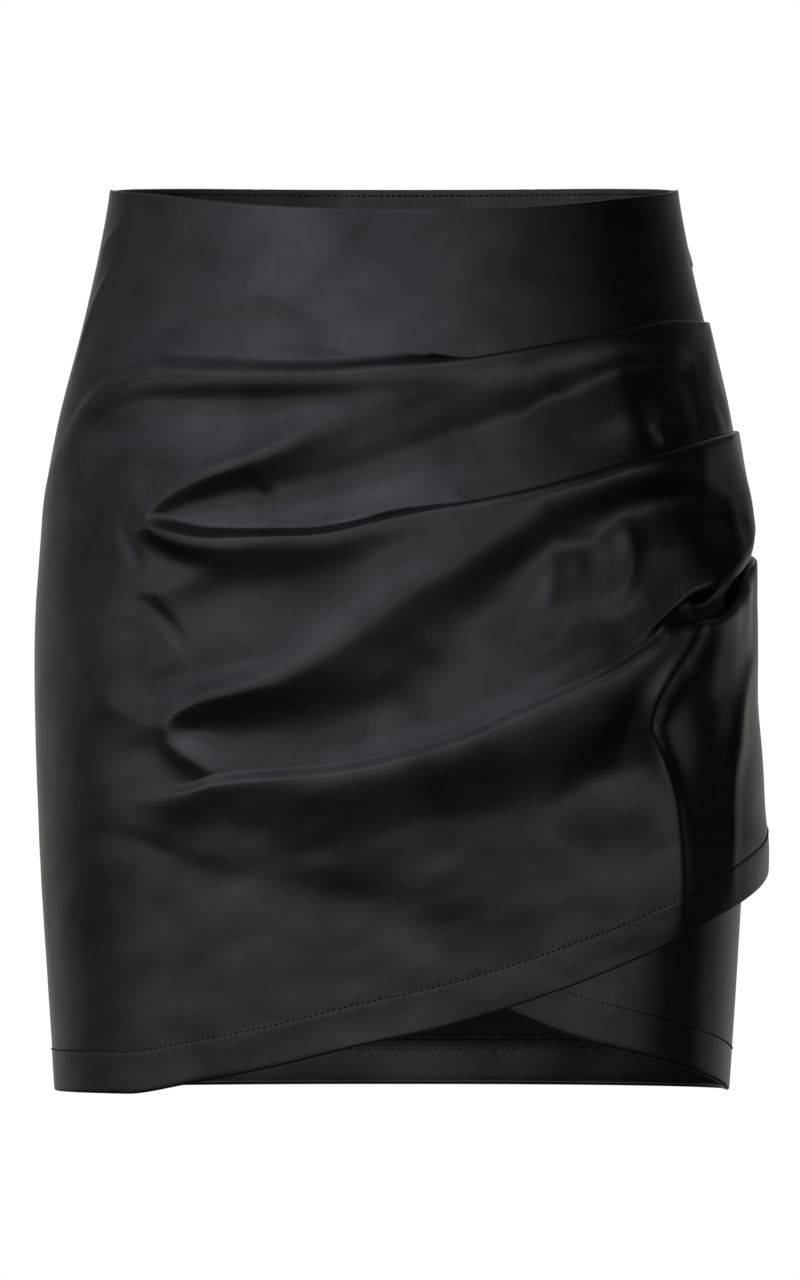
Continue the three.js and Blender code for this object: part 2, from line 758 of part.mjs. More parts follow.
// The slider sits in the open slit of the zip seam. The tab hangs from it, its tip just off the
// cloth.
function seamFace(down, out) {
  return bodyPoint(SEAM_ACROSS, down, drapeHeight(SEAM_ACROSS, down) + CLOTH + out);
}
const pinMiddle = seamFace(SLIDER_DOWN, PIN_OUT);
const clothOut = seamFace(SLIDER_DOWN, 1).sub(seamFace(SLIDER_DOWN, 0)).normalize();
const hinge = new THREE.Vector3(-clothOut.y, clothOut.x, 0).normalize();
const tipMiddle = seamFace(SLIDER_DOWN + PULL.length, TIP_OUT);
const slidingUp = new THREE.Vector3().crossVectors(clothOut, hinge);
const hangingUp = new THREE.Vector3().subVectors(pinMiddle, tipMiddle);
hangingUp.addScaledVector(hinge, -hangingUp.dot(hinge)).normalize();

function frameAtPin(up) {
  const frame = new THREE.Group();
  const out = new THREE.Vector3().crossVectors(hinge, up);
  frame.position.copy(pinMiddle);
  frame.quaternion.setFromRotationMatrix(new THREE.Matrix4().makeBasis(out, hinge, up));
  skirt.add(frame);
  return frame;
}

addPiece("over_front", overFront(), leather());
addPiece("under_front", underFront(), leather());
addPiece("back", backPanel(), leather());
addPiece("waist_facing", waistFacing(), lining());
addPiece("zip_tape", zipTape(), lining());
addPiece("zip_slider", sliderGeometry(), lacquer(), frameAtPin(slidingUp));
addPiece("zip_pull", pullGeometry(), lacquer(), frameAtPin(hangingUp));

export default skirt;
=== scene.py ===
"""Leather mini skirt with a draped wrap front: the pieces and finishes that dress its solids.

Sizes in the tables are millimetres. "across" is a distance round the skirt, counted at hip girth
from centre front, positive towards the side with the zip (+X). "down" is the distance below the
waist. A lift is a distance outwards from the body form under the cloth.
"""

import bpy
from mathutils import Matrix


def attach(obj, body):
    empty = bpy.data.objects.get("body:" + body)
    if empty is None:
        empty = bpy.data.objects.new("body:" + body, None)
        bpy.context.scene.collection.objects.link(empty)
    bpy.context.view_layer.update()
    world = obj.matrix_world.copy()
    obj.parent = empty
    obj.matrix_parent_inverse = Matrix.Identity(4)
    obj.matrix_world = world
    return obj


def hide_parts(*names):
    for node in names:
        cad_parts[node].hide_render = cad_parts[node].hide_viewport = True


bl_info = {
    "name": "Wrap skirt",
    "version": (1, 0, 0),
    "blender": (4, 5, 0),
    "location": "3D view > Sidebar > Skirt",
    "description": "Builds the cloth, zip, stitches and stage of a draped leather mini skirt",
    "category": "Add Mesh",
}

import math

import bpy
import numpy as np
from bpy.props import FloatProperty, FloatVectorProperty, PointerProperty

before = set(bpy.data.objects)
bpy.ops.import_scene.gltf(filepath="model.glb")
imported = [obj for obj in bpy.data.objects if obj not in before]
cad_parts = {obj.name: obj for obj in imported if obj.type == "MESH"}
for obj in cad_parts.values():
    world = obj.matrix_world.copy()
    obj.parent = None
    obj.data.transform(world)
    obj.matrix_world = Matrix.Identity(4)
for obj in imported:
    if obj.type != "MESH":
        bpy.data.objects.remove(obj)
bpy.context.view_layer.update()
MM = 0.001

# Sizes that the solids have too
LENGTH = 410.0
HIP_GIRTH = 912.0
CLOTH = 1.2
LAYER_GAP = 0.3
INSIDE_GAP = 0.6
SEAM_ACROSS = 248.0
BACK_MIDDLE = HIP_GIRTH / 2
FACING_DEPTH = 46.0
FACING_CLOTH = 0.9
TAPE_CLOTH = 0.8
ZIP_TOP = 8.0
ZIP_LENGTH = 170.0
ZIP_TAPE_WIDTH = 34.0
SLIDER_DOWN = 15.5
SLIT_GAPE = 3.2
SLIT_REACH = 12.0

# Sizes of the scene alone
SEAM_HALF_GAP = 0.05
SLIT_SIDE = 9.0
# A turned-up hem's inner rows, as shares from its cut edge to the fold, and how far in they stand.
TURNED_ROWS = np.array([0.02, 0.05, 0.1, 0.3, 0.55, 0.8, 0.9, 0.96, 1.0])
TURNED_DEPTH = np.array([0.6, 0.95, 1.0, 1.0, 1.0, 1.0, 1.0, 1.0, 1.0])
# Rows beside a hem's stitch line, columns beside a panel's side, and turns round an edge or fold.
STITCH_ROWS = (-4, -2.4, -1.2, -0.5, 0, 0.5, 1.2, 2.4, 4)
SIDE_COLUMNS = np.array([0, 0.15, 0.5, 1.1, 2.0])
FIRST_INNER_COLUMN = 4.5
SIDE_ROUND = 1.6
EDGE_TURNS = (90, 65, 42, 20)
FOLD_TURNS = np.linspace(-np.pi / 2, np.pi / 2, 9)
# How folds fade, how cloth rests on the layer below it, and how far into a seam it is held down.
CREST_SHARP = 1.7
HOLLOW_SHARP = 2.2
REST_ROUND = 0.5
SEWN_SHARE = 0.35
SEWN_REACH = 12
# How much of the roll shows inside, and how high a crest must stand to get the whole painted highlight.
ROLL_SHARE_INSIDE = 0.4
CREST_HEIGHT = 0.8
# A stitched hem's ridge, and its groove's height and width.
HEM_RIDGE = 0.2
HEM_GROOVE = (-0.16, 0.8)
# Sides of a stitch or thread.
SPINDLE_SIDES = 6

# A ripple's lattice: how many values each way, and where its first line lies.
LATTICE = 64
LATTICE_START = (300.3, 300.7)
# Small waves of the cloth: their height, size across, size down and random seed.
DRAPE_WAVES = ((0.6, 58, 24, 4), (0.24, 26, 12, 9), (0.1, 13, 8, 17))
GATHER_WAVES = ((0.55, 12, 30, 23),)
UNDER_WAVES = ((0.12, 40, 60, 31),)
OVER_HEM_WAVES = ((0.5, 5, 40, 21),)
HEM_WAVES = ((0.5, 5, 40, 22),)
# How much the drape's waves climb towards the zip side, in mm for each mm across.
WAVE_SLANT = 0.28
# Where waves and gathers grow, from nothing to their whole height.
WAVES_AT_SIDES = (236, 196)
WAVES_UNDER_WAIST = (0, 18)
WAVES_IN_FULL = (40, 90)
GATHERS_ACROSS = (10, 70)
GATHERS_FROM = (70, 90)
GATHERS_TO = (260, 200)
# Where the over front lies over the under front's turned-up hem.
OVERLAP_ACROSS = (-40, 20)
OVERLAP_DOWN = (280, 300)

# Colours
# The facing is the same black leather, painted about five times lighter to stand for the light it catches
# inside the waist: painted light.
FACING_PAINTED_LIGHT_COLOUR = (0.024, 0.024, 0.026)
BACKING_COLOUR = (0.034, 0.031, 0.037)
TAPE_COLOUR = (0.014, 0.014, 0.016)
OVERLOCK_COLOUR = (0.05, 0.052, 0.058)
LACQUER_COLOUR = (0.012, 0.012, 0.013)


def table(names, *rows):
    """A table as one array for each named column."""
    return dict(zip(names.split(), np.array(rows, float).T))


def fold_path(*points):
    """Points along a soft fold."""
    return table("across down height up low", *points)


BODY = table(
    "down half_width front_depth back_depth squareness",
    (-5, 127.6, 87.5, 87, 2.1), (0, 128.0, 88, 88, 2.1), (25, 132.2, 92, 93, 2.12),
    (60, 139.8, 98, 104, 2.16), (110, 152.4, 104, 116, 2.22), (150, 158.8, 107, 122, 2.26),
    (215, 162.4, 108, 124, 2.3), (290, 160.4, 105, 119, 2.3), (350, 157.0, 102, 113, 2.28),
    (410, 153.0, 99, 108, 2.25),
)

WAIST_LINE = table(
    "across down",
    (-228, 0), (-138, 3.5), (-96, 7), (-48, 10), (3, 11), (55, 10.4), (89, 8.6), (131, 5.2), (228, 0),
)
OVER_HEM = table(
    "across down",
    (-248, 410), (-125, 410), (-89, 405), (-54, 398), (-16, 388), (24, 378), (67, 363), (113, 344),
    (148, 329), (201, 314), (248, 305),
)
UNDER_HEM = table(
    "across down",
    (-248, 282), (-120, 304), (-20, 345), (45, 371), (80, 385), (120, 394), (161, 402), (228, 410),
    (248, 410),
)
BACK_HEM = table("across down", (248, 410), (664, 410))
BACK_WAIST = table("across down", (248, 0), (296, -1.4), (360, -2.2), (552, -2.2), (616, -1.4), (664, 0))

# Pleats sewn into the zip seam. down is the fold edge, rise how far it stands out, soft the height
# over which it rises where it is a soft roll, fall the height over which it sinks back, and crisp
# is 1 where the edge is a pressed fold that turns up over the cloth above it.
PLEATS = {
    "upper": table(
        "across down rise soft fall crisp",
        (-248, 160, 0, 8, 14, 0), (-191, 118, 0.8, 11, 12, 0), (-152, 97, 2.0, 13, 13, 0),
        (-112, 86, 3.2, 12, 14, 0), (-47, 87, 4.4, 9, 14, 0), (3, 84, 5.2, 8, 16, 0),
        (49, 76, 5.6, 2.5, 20, 1), (103, 67, 5.0, 2, 26, 1), (152, 61, 4.2, 2, 34, 1),
        (205, 61, 2.6, 2, 40, 1), (248, 61, 2.2, 2, 40, 1),
    ),
    "middle": table(
        "across down rise soft fall crisp",
        (-248, 172, 0, 9, 12, 0), (-135, 160, 0, 9, 12, 0), (-100, 156, 3.0, 7, 12, 0),
        (-74, 160, 5.6, 6, 13, 0), (-36, 159, 6.4, 5, 16, 0), (2, 150, 6.6, 4, 22, 0.2),
        (56, 137, 7.0, 2.5, 27, 1), (105, 124, 7.4, 2, 28, 1), (161, 114, 6.0, 2, 34, 1),
        (205, 111, 3.0, 2, 40, 1), (248, 110, 2.2, 2, 40, 1),
    ),
    "lower": table(
        "across down rise soft fall crisp",
        (-248, 284, 0, 10, 14, 0), (-112, 279, 0, 6, 9, 0), (-98, 277, 1.4, 5, 9, 0),
        (-84, 274, 2.8, 5, 11, 0), (-68, 270, 3.0, 6, 16, 0), (-26, 266, 2.6, 6, 24, 0),
        (23, 253, 2.8, 6, 27, 0), (57, 236, 3.4, 7.5, 27, 0), (82, 223, 4.2, 9, 28, 0),
        (101, 211, 5.2, 9, 25, 0), (118, 201, 7.0, 6, 18, 0.2), (130, 196, 8.2, 4, 15, 0.8),
        (140, 195, 7.4, 3, 16, 1), (156, 189, 6.0, 2.5, 18, 1), (175, 179, 4.2, 2.5, 22, 1),
        (198, 171, 3.0, 2, 30, 1), (248, 166, 2.0, 2, 40, 1),
    ),
}

# The rolled underside of the cloth between the middle and lower pleats, which hangs over a hollow.
ROLL = table(
    "across down drop reach",
    (-248, 232, 0, 20), (-131, 236, 0, 20), (-60, 252, 0, 20), (2, 243, 0, 20), (44, 229, 0, 22),
    (86, 209, 0.3, 22), (106, 198, 1.0, 22), (115, 193, 2.4, 22), (124, 188, 5.2, 22), (139, 183, 8.6, 24),
    (156, 178, 9.4, 24), (173, 169, 8.4, 24), (190, 160, 5.4, 24), (210, 153, 2.0, 22), (228, 148, 0.6, 20),
    (248, 140, 0, 20),
)

# Soft folds: each runs through its points, stands out by height, or sinks where it is negative,
# and fades over up above its line and low below it.
FOLDS = {
    "upper bend": fold_path(
        (-52, 124, 0, 7, 6), (-70, 129, 1.8, 7, 6), (-83, 134, 2.8, 7, 6), (-98, 142, 3.6, 6, 6),
        (-104, 149, 3.9, 6, 6), (-100, 155, 3.7, 6, 6), (-90, 160, 3, 6, 6), (-74, 164, 1.6, 6, 6),
        (-50, 164, 0, 6, 6),
    ),
    "upper drape crest": fold_path(
        (-104, 142, 0, 11, 7), (-90, 134, 2.4, 11, 7), (-59, 122, 4.6, 12, 8), (-22, 106, 3.8, 13, 9),
        (8, 95, 2, 13, 10), (40, 84, 0, 13, 10),
    ),
    "upper drape hollow": fold_path(
        (-97, 147, -0.6, 9, 9), (-60, 142, -2.2, 9, 11), (-20, 134, -2.5, 10, 13), (8, 124, -2.7, 11, 15),
        (36, 114, -2.7, 13, 17), (62, 107, -1.6, 12, 16), (88, 98, 0, 10, 12),
    ),
    "lower bend": fold_path(
        (-46, 222, 0, 7, 6), (-62, 228, 2.4, 7, 6), (-76, 232, 3.4, 6, 6), (-86, 237, 3.8, 6, 6),
        (-91, 243, 3.8, 6, 6), (-90, 250, 3.6, 6, 6.5), (-81, 258, 3, 7, 7), (-68, 268, 0, 7, 7),
    ),
    "lower drape crest": fold_path(
        (-92, 240, 0, 11, 8), (-80, 233, 1.4, 12, 8), (-54, 226, 4.2, 13, 12), (-24, 207, 6, 14, 18),
        (6, 184, 6.2, 14, 22), (34, 166, 4.2, 14, 20), (62, 150, 0, 14, 16),
    ),
    "arch over the billow": fold_path(
        (14, 206, 0, 12, 11), (42, 186, -3.2, 15, 14), (70, 162, -4.3, 14, 14), (94, 148, -4.1, 11, 13),
        (118, 143, -3.8, 9, 13), (143, 147, -3, 9, 12), (170, 152, -1.8, 9, 11), (188, 160, 0, 9, 10),
    ),
    "arch under the upper pleat": fold_path(
        (44, 110, 0, 9, 10), (70, 100, -2.4, 9, 11), (94, 90, -3.2, 8, 11), (120, 84, -3, 7, 11),
        (158, 86, -2.2, 7, 10), (186, 100, -1, 7, 9), (200, 110, 0, 7, 9),
    ),
    "left light swell": fold_path(
        (66, 160, 0, 5, 5), (64, 174, 1.2, 5, 5), (62, 188, 1.2, 5, 5), (60, 208, 0, 5, 5),
    ),
    "right light swell": fold_path(
        (97, 148, 0, 5, 5), (98, 162, 1.4, 5.5, 5), (95, 178, 1.2, 5.5, 5), (88, 194, 0, 5, 5),
    ),
    "floor of the roll's hollow": fold_path(
        (120, 191, 0, 5, 6), (134, 190, -3.0, 5, 6), (156, 184, -4.0, 6, 6), (176, 175, -3.4, 6, 6),
        (196, 166, -1.6, 5, 6), (212, 160, 0, 5, 6),
    ),
    "lower drape hollow": fold_path(
        (-86, 250, -0.5, 10, 9), (-40, 252, -1.6, 14, 11), (2, 241, -2.4, 17, 12), (43, 222, -2.6, 17, 12),
        (66, 211, -2.4, 15, 11), (86, 201, -1.8, 12, 9), (106, 192, 0, 9, 7),
    ),
    "branch of the upper drape": fold_path(
        (-60, 164, 0, 10, 8), (-70, 171, 1, 12, 8), (-80, 177, 1.2, 13, 8), (-92, 181, 1.2, 13, 8),
        (-106, 185, 1.1, 13, 8), (-120, 187, 0.7, 13, 8), (-136, 188, 0, 13, 8),
    ),
    "branch of the lower drape": fold_path(
        (-150, 206, 0, 15, 11), (-128, 228, 1.1, 16, 11), (-114, 235, 1.5, 15, 11),
        (-103, 241, 1.7, 13, 10), (-91, 246, 0, 10, 8),
    ),
    "long low trough": fold_path(
        (-146, 292, 0, 6, 7), (-128, 294, -0.6, 6, 7), (-108, 297, -0.9, 6, 8), (-92, 304, -1, 7, 9),
        (-78, 311, -0.9, 8, 10), (-54, 316, -0.8, 9, 11), (-20, 322, -0.8, 10, 12), (20, 334, -0.6, 11, 13),
        (48, 342, 0, 12, 14),
    ),
    "side ridge below the roll": fold_path(
        (132, 200, 0, 5, 5), (122, 209, 2.2, 5, 6), (112, 222, 3.4, 5, 6), (105, 235, 4, 5, 6),
        (104, 243, 4.2, 5, 6), (108, 252, 3.6, 5, 6), (113, 263, 3, 5, 6), (118, 280, 2.6, 5, 7),
        (121, 310, 2.2, 6, 8), (124, 346, 0, 7, 9),
    ),
    "valley left of the upper bend": fold_path(
        (-150, 150, 0, 8, 8), (-126, 153, -0.8, 8, 8), (-108, 157, -1.1, 6, 7), (-90, 165, -1, 5, 7),
        (-66, 172, 0, 5, 6),
    ),
    "notch below the upper bend": fold_path(
        (-120, 153, 0, 4, 3.5), (-114, 160, -1.2, 3.5, 3), (-109, 168, -1.1, 3.5, 3),
        (-104, 176, 0, 4, 3.5),
    ),
    "short crease": fold_path(
        (-121, 187, 0, 4, 4), (-104, 188, -1, 4, 4), (-95, 195, -1.3, 3.5, 3.5), (-87, 204, -1.2, 3.5, 3.5),
        (-80, 213, 0, 4, 4),
    ),
    "valley over the lower drape": fold_path(
        (-120, 230, 0, 8, 6), (-93, 226, -1.3, 8, 6), (-62, 217, -1.5, 8, 6), (-34, 206, -1.1, 8, 6),
        (-14, 193, 0, 8, 6),
    ),
    "dent between the swells": fold_path(
        (80, 156, 0, 5, 6), (81, 170, -1.3, 5, 6), (78, 186, -1.1, 5, 6), (73, 204, 0, 6, 6),
    ),
    "wave of the waist": fold_path(
        (-105, 62, 0, 7, 7), (-84, 54, 0.9, 8, 6), (-62, 50, 1.2, 9, 7), (-36, 60, 0.9, 9, 7),
        (-8, 68, 0, 9, 7),
    ),
    "shelf above the lower pleat": fold_path(
        (-80, 273, 0, 12, 10), (-56, 269, 1.4, 16, 16), (-26, 266, 2.6, 24, 22), (23, 253, 3, 28, 25),
        (57, 236, 3.6, 30, 25), (82, 223, 4, 28, 26), (101, 211, 3.2, 22, 23), (118, 201, 1.6, 14, 16),
        (132, 197, 0, 10, 10),
    ),
    "second wave of the waist": fold_path(
        (-70, 74, 0, 6, 6), (-48, 70, 0.6, 7, 6), (-20, 76, 0.8, 8, 6), (10, 77, 0, 8, 6),
    ),
    "crease by the waist's end": fold_path(
        (-164, 12, 0, 4, 5), (-174, 17, 1.2, 4, 5), (-190, 25, 1.6, 4, 5), (-206, 34, 0, 4, 5),
    ),
    "second crease by the seam": fold_path(
        (-164, 30, 0, 5, 6), (-175, 40, 1, 5, 6), (-187, 54, 1.5, 5, 6), (-197, 70, 1.2, 5, 6),
        (-205, 88, 0, 5, 6),
    ),
    "hollow of the teardrop": fold_path(
        (122, 218, 0, 8, 10), (112, 235, -2.6, 13, 20), (101, 252, -4.4, 17, 26), (89, 266, -4.2, 18, 28),
        (76, 278, -2.4, 15, 26), (62, 289, 0, 12, 20),
    ),
    "edge of the billow": fold_path(
        (124, 194, 0, 6, 5), (142, 182, 1.4, 7, 5), (156, 168, 1.6, 8, 5), (163, 154, 1, 8, 5),
        (162, 140, 0, 6, 6),
    ),
    "long light fold at the side": fold_path(
        (204, 206, 0, 6, 8), (178, 224, 1.4, 6, 9), (163, 248, 1.8, 6, 9), (156, 270, 1.6, 5, 8),
        (155, 298, 1, 5, 7), (158, 326, 0, 5, 7),
    ),
    "pucker at the middle pleat": fold_path(
        (124, 108, 0, 3, 3), (125, 114, 1.2, 3, 3), (125, 119, 0, 3, 3),
    ),
    "pinch beside the pucker": fold_path((117, 107, 0, 3, 3), (117, 114, -1, 3, 3), (117, 120, 0, 3, 3)),
    "short pucker in the upper drape": fold_path(
        (-54, 136, 0, 3.2, 3.2), (-52, 143, -1.6, 3.2, 3.2), (-56, 151, 0, 3.2, 3.2),
    ),
    "dip above the middle pleat": fold_path(
        (14, 143, 0, 18, 4), (46, 136, -1.8, 20, 4), (75, 129, -2.4, 20, 4), (105, 120, -2.2, 18, 4),
        (140, 112, -1.4, 14, 4), (172, 108, 0, 12, 4),
    ),
    "hollow under the upper pleat": fold_path(
        (-176, 124, 0, 6, 10), (-150, 110, -1.4, 7, 12), (-112, 100, -2.4, 8, 14), (-70, 99, -2.7, 8, 14),
        (-30, 99, -2.4, 8, 13), (10, 95, -1.5, 8, 12), (40, 90, 0, 8, 10),
    ),
    "valley above the upper drape": fold_path(
        (-112, 142, 0, 8, 5), (-100, 138, -1.1, 8, 5), (-79, 128, -1.9, 9, 5), (-57, 117, -1.9, 9, 5),
        (-38, 108, 0, 9, 5),
    ),
}

FULLNESS = {
    "across": table("at share", (-248, 0), (-190, 0), (-110, 0.8), (0, 1), (120, 0.9), (200, 0.3), (248, 0)),
    "down": table("at stand", (60, 0), (110, 2.5), (180, 4.2), (250, 4.0), (320, 2.6), (410, 0.6)),
}
FLARE = {
    "across": table("at share", (20, 0), (120, 0.45), (200, 0.9), (228, 1), (238, 0.75), (248, 0)),
    "down": table("at stand", (190, 0), (230, 1.4), (265, 5.0), (310, 8.4), (360, 9.0)),
}


# Shape functions


def along(rows, key, column, at):
    """Smooth curve through a table's rows: a cubic between two rows. A row's slope is the harmonic
    mean of the slopes beside it, or 0 at a peak, so the curve never overshoots."""
    x, y = rows[key], rows[column]
    if len(x) == 2:
        return np.interp(at, x, y)
    slopes = np.diff(y) / np.diff(x)
    before, after = slopes[:-1], slopes[1:]
    total = np.where(before * after > 0, before + after, 1.0)
    middle = np.where(before * after > 0, 2 * before * after / total, 0.0)
    tangents = np.concatenate([slopes[:1], middle, slopes[-1:]])
    at = np.clip(at, x[0], x[-1])
    i = np.clip(np.searchsorted(x, at, side="right") - 1, 0, len(x) - 2)
    span = x[i + 1] - x[i]
    t = (at - x[i]) / span
    u = 1 - t
    ends = y[i] * (1 + 2 * t) * u * u + y[i + 1] * (3 - 2 * t) * t * t
    return ends + span * t * u * (tangents[i] * u - tangents[i + 1] * t)


def smooth_step(t):
    """3t² - 2t³ between 0 and 1."""
    c = np.clip(t, 0, 1)
    return c * c * (3 - 2 * c)


def rise(value, start, end):
    """0 at the start and 1 at the end, eased between them. The end may be the lower one."""
    return smooth_step((value - start) / (end - start))


def fade(t, sharp=CREST_SHARP):
    """exp(-|t|^sharp): 1 on a fold's line, 0.37 at one reach from it and near 0 at two."""
    return np.exp(-np.abs(t) ** sharp)


def body_point(across, down, lift):
    """Point of the body form moved out by a lift, in metres. Each level is a superellipse: with
    a the angle from +X, u = cos a / n and w = -sin a / n, where n = (|cos a|^p + |sin a|^p)^(1/p).
    The normal is the gradient of |x/width|^p + |y/depth|^p, with the levels' own slopes."""
    across, down, lift = np.broadcast_arrays(across, down, lift)
    angle = np.pi / 2 - across * 2 * np.pi / HIP_GIRTH
    c, s = np.cos(angle), np.sin(angle)
    power = along(BODY, "down", "squareness", down)
    spread = (np.abs(c) ** power + np.abs(s) ** power) ** (1 / power)
    u, w = c / spread, -s / spread

    def ring(at):
        front = along(BODY, "down", "front_depth", at)
        back = along(BODY, "down", "back_depth", at)
        return along(BODY, "down", "half_width", at), np.where(s >= 0, front, back)

    step = 2.0
    width, depth = ring(down)
    (width_low, depth_low), (width_up, depth_up) = ring(down + step), ring(down - step)
    slope = np.abs(u) ** power * (width_low - width_up) / (2 * step * width)
    slope = slope + np.abs(w) ** power * (depth_low - depth_up) / (2 * step * depth)
    sideways = np.sign(u) * np.abs(u) ** (power - 1) / width
    forward = np.sign(w) * np.abs(w) ** (power - 1) / depth
    normal = unit(np.stack([sideways, forward, slope], axis=-1))
    place = np.stack([u * width, w * depth, -down], axis=-1)
    return (place + normal * lift[..., None]) * MM


def swell(distance, height, width):
    """height * exp(-(distance / width)²): a soft ridge, or a groove where height is negative."""
    return height * np.exp(-((distance / width) ** 2))


def unit(vectors):
    """Vectors divided by their lengths."""
    return vectors / np.linalg.norm(vectors, axis=-1, keepdims=True)


def fold_height(fold, across, down, steps=36):
    """Height of a soft fold: its height at the nearest point of its path, times the fade of the
    distance from there over the reach on that side. A hollow's floor is rounder than a crest."""
    places = dict(fold, step=np.arange(len(fold["across"]), dtype=float))
    at = np.linspace(0, len(fold["across"]) - 1, steps + 1)
    px, py = along(places, "step", "across", at), along(places, "step", "down", at)
    values = [along(places, "step", key, at) for key in ("height", "up", "low")]
    sharp = CREST_SHARP if fold["height"].max() > 0 else HOLLOW_SHARP
    nearest = np.full(across.shape, np.inf)
    height = np.zeros(across.shape)
    for k in range(steps):
        dx, dy = px[k + 1] - px[k], py[k + 1] - py[k]
        t = np.clip(((across - px[k]) * dx + (down - py[k]) * dy) / (dx * dx + dy * dy), 0, 1)
        ex, ey = across - px[k] - t * dx, down - py[k] - t * dy
        distance = np.hypot(ex, ey)
        side = (dx * ey - dy * ex) * (1 if dx >= 0 else -1)
        top, up, low = (value[k] + t * (value[k + 1] - value[k]) for value in values)
        here = top * fade(distance / np.where(side > 0, low, up), sharp)
        closer = distance < nearest
        nearest = np.where(closer, distance, nearest)
        height = np.where(closer, here, height)
    return height


def ripple(across, down, size_across, size_down, seed):
    """Smooth random hills from -1 to 1: values on a lattice that repeats, eased between its
    points."""
    values = np.random.default_rng(seed).uniform(-1, 1, (LATTICE, LATTICE))
    x, y = across / size_across + LATTICE_START[0], down / size_down + LATTICE_START[1]
    i, j = np.floor(x).astype(int), np.floor(y).astype(int)
    t, u = smooth_step(x - i), smooth_step(y - j)
    i, j, i_next, j_next = i % LATTICE, j % LATTICE, (i + 1) % LATTICE, (j + 1) % LATTICE
    a, b, c, d = values[i, j], values[i_next, j], values[i, j_next], values[i_next, j_next]
    return (a + (b - a) * t) * (1 - u) + (c + (d - c) * t) * u


def waves(rows, across, down):
    """Sum of ripples, each times its height."""
    return sum(height * ripple(across, down, wide, high, seed) for height, wide, high, seed in rows)


def drape_base(across, down):
    """Height of the draped front without its pleats and roll: fullness, flare, soft folds and the
    cloth's own small waves, which lie along the drape and stop at the waist."""
    height = 0
    for spread in (FULLNESS, FLARE):
        share = along(spread["across"], "at", "share", across)
        height = height + share * along(spread["down"], "at", "stand", down)
    for fold in FOLDS.values():
        height = height + fold_height(fold, across, down)
    calm = (0.8 + 0.2 * rise(down, *WAVES_IN_FULL)) * rise(np.abs(across), *WAVES_AT_SIDES)
    calm = calm * rise(down - line(WAIST_LINE, across), *WAVES_UNDER_WAIST)
    gathered = rise(across, *GATHERS_ACROSS) * rise(down, *GATHERS_FROM) * rise(down, *GATHERS_TO)
    height = height + calm * waves(DRAPE_WAVES, across, down + WAVE_SLANT * across)
    return height + calm * gathered * waves(GATHER_WAVES, across, down)


def pleat_part(rows, across, down):
    """Height of a pleat at and below its fold edge: its rise times the fade of the distance below
    the edge over the fall."""
    below = np.maximum(0, down - along(rows, "across", "down", across))
    return along(rows, "across", "rise", across) * fade(below / along(rows, "across", "fall", across))


def roll_part(across, down):
    """Height of the roll at and above its lower edge: its drop times the fade of the distance
    above the edge over the reach."""
    above = np.maximum(0, along(ROLL, "across", "down", across) - down)
    return along(ROLL, "across", "drop", across) * fade(above / along(ROLL, "across", "reach", across))


def eased(height):
    """(h + sqrt(h² + r²)) / 2: where the height h is below 0 the cloth lies on the layer beneath
    it, and r is REST_ROUND."""
    return (height + np.hypot(height, REST_ROUND)) / 2


def into_seam(across):
    """1 on the panel, falling to SEWN_SHARE where the cloth is sewn down into a side seam."""
    return SEWN_SHARE + (1 - SEWN_SHARE) * rise(SEAM_ACROSS - np.abs(across), 0, SEWN_REACH)


def line(rows, across):
    """How far down a line such as a hem or a fold edge runs."""
    return along(rows, "across", "down", across)


def seam_columns(low, high, count):
    """Columns of a panel: close together in the last 2 mm at each side, where its edge rounds."""
    inner = np.linspace(low + FIRST_INNER_COLUMN, high - FIRST_INNER_COLUMN, count)
    return np.concatenate([low + SIDE_COLUMNS, inner, high - SIDE_COLUMNS[::-1]])


def rounded_side(across, low, high, thickness):
    """How much a face drops at the panel's sides, so that its edge is round: from half the
    thickness at the side to 0, as 0.85 of a quarter circle and 0.15 of a straight line."""
    near = np.clip(np.minimum(across - low, high - across) / SIDE_ROUND, 0, 1)
    return thickness / 2 * (1 - np.sqrt(1 - (1 - near) ** 2) * 0.85 - 0.15 * near)


def slit(across, down, edge):
    """Across of a column beside the zip, moved aside where the slit opens round the slider: by the
    gape, eased to 0 at SLIT_REACH along the seam, and falling to 0 at SLIT_SIDE beside it."""
    gape = SLIT_GAPE * smooth_step(1 - np.abs(down - SLIDER_DOWN) / SLIT_REACH)
    side = 1 if edge > SEAM_ACROSS else -1
    near = np.clip(1 - np.abs(across - edge) / SLIT_SIDE, 0, 1)
    return across + side * gape * near


# Meshes


def chain_strip(outer, inner, outer_down, inner_down):
    """Triangles between two edges with different numbers of points: both are merged in order of
    their distance down, and each next point closes a triangle with the last two."""
    down = np.concatenate([np.maximum.accumulate(outer_down), np.maximum.accumulate(inner_down)])
    order = np.argsort(down, kind="stable")
    is_outer = order < len(outer)
    last_outer = np.maximum(np.cumsum(is_outer) - 1, 0)
    last_inner = np.maximum(np.cumsum(~is_outer) - 1, 0)
    at = np.where(is_outer & (last_outer > 0))[0]
    first = [outer[last_outer[at] - 1], inner[last_inner[at]], outer[last_outer[at]]]
    at = np.where(~is_outer & (last_inner > 0))[0]
    second = [outer[last_outer[at]], inner[last_inner[at] - 1], inner[last_inner[at]]]
    return np.concatenate([np.stack(first, 1), np.stack(second, 1)])


def grid_quads(ids):
    """Quads of a grid of vertex numbers, facing out of the skirt where rows go down."""
    return np.stack([ids[:-1, :-1], ids[1:, :-1], ids[1:, 1:], ids[:-1, 1:]], axis=-1).reshape(-1, 4)


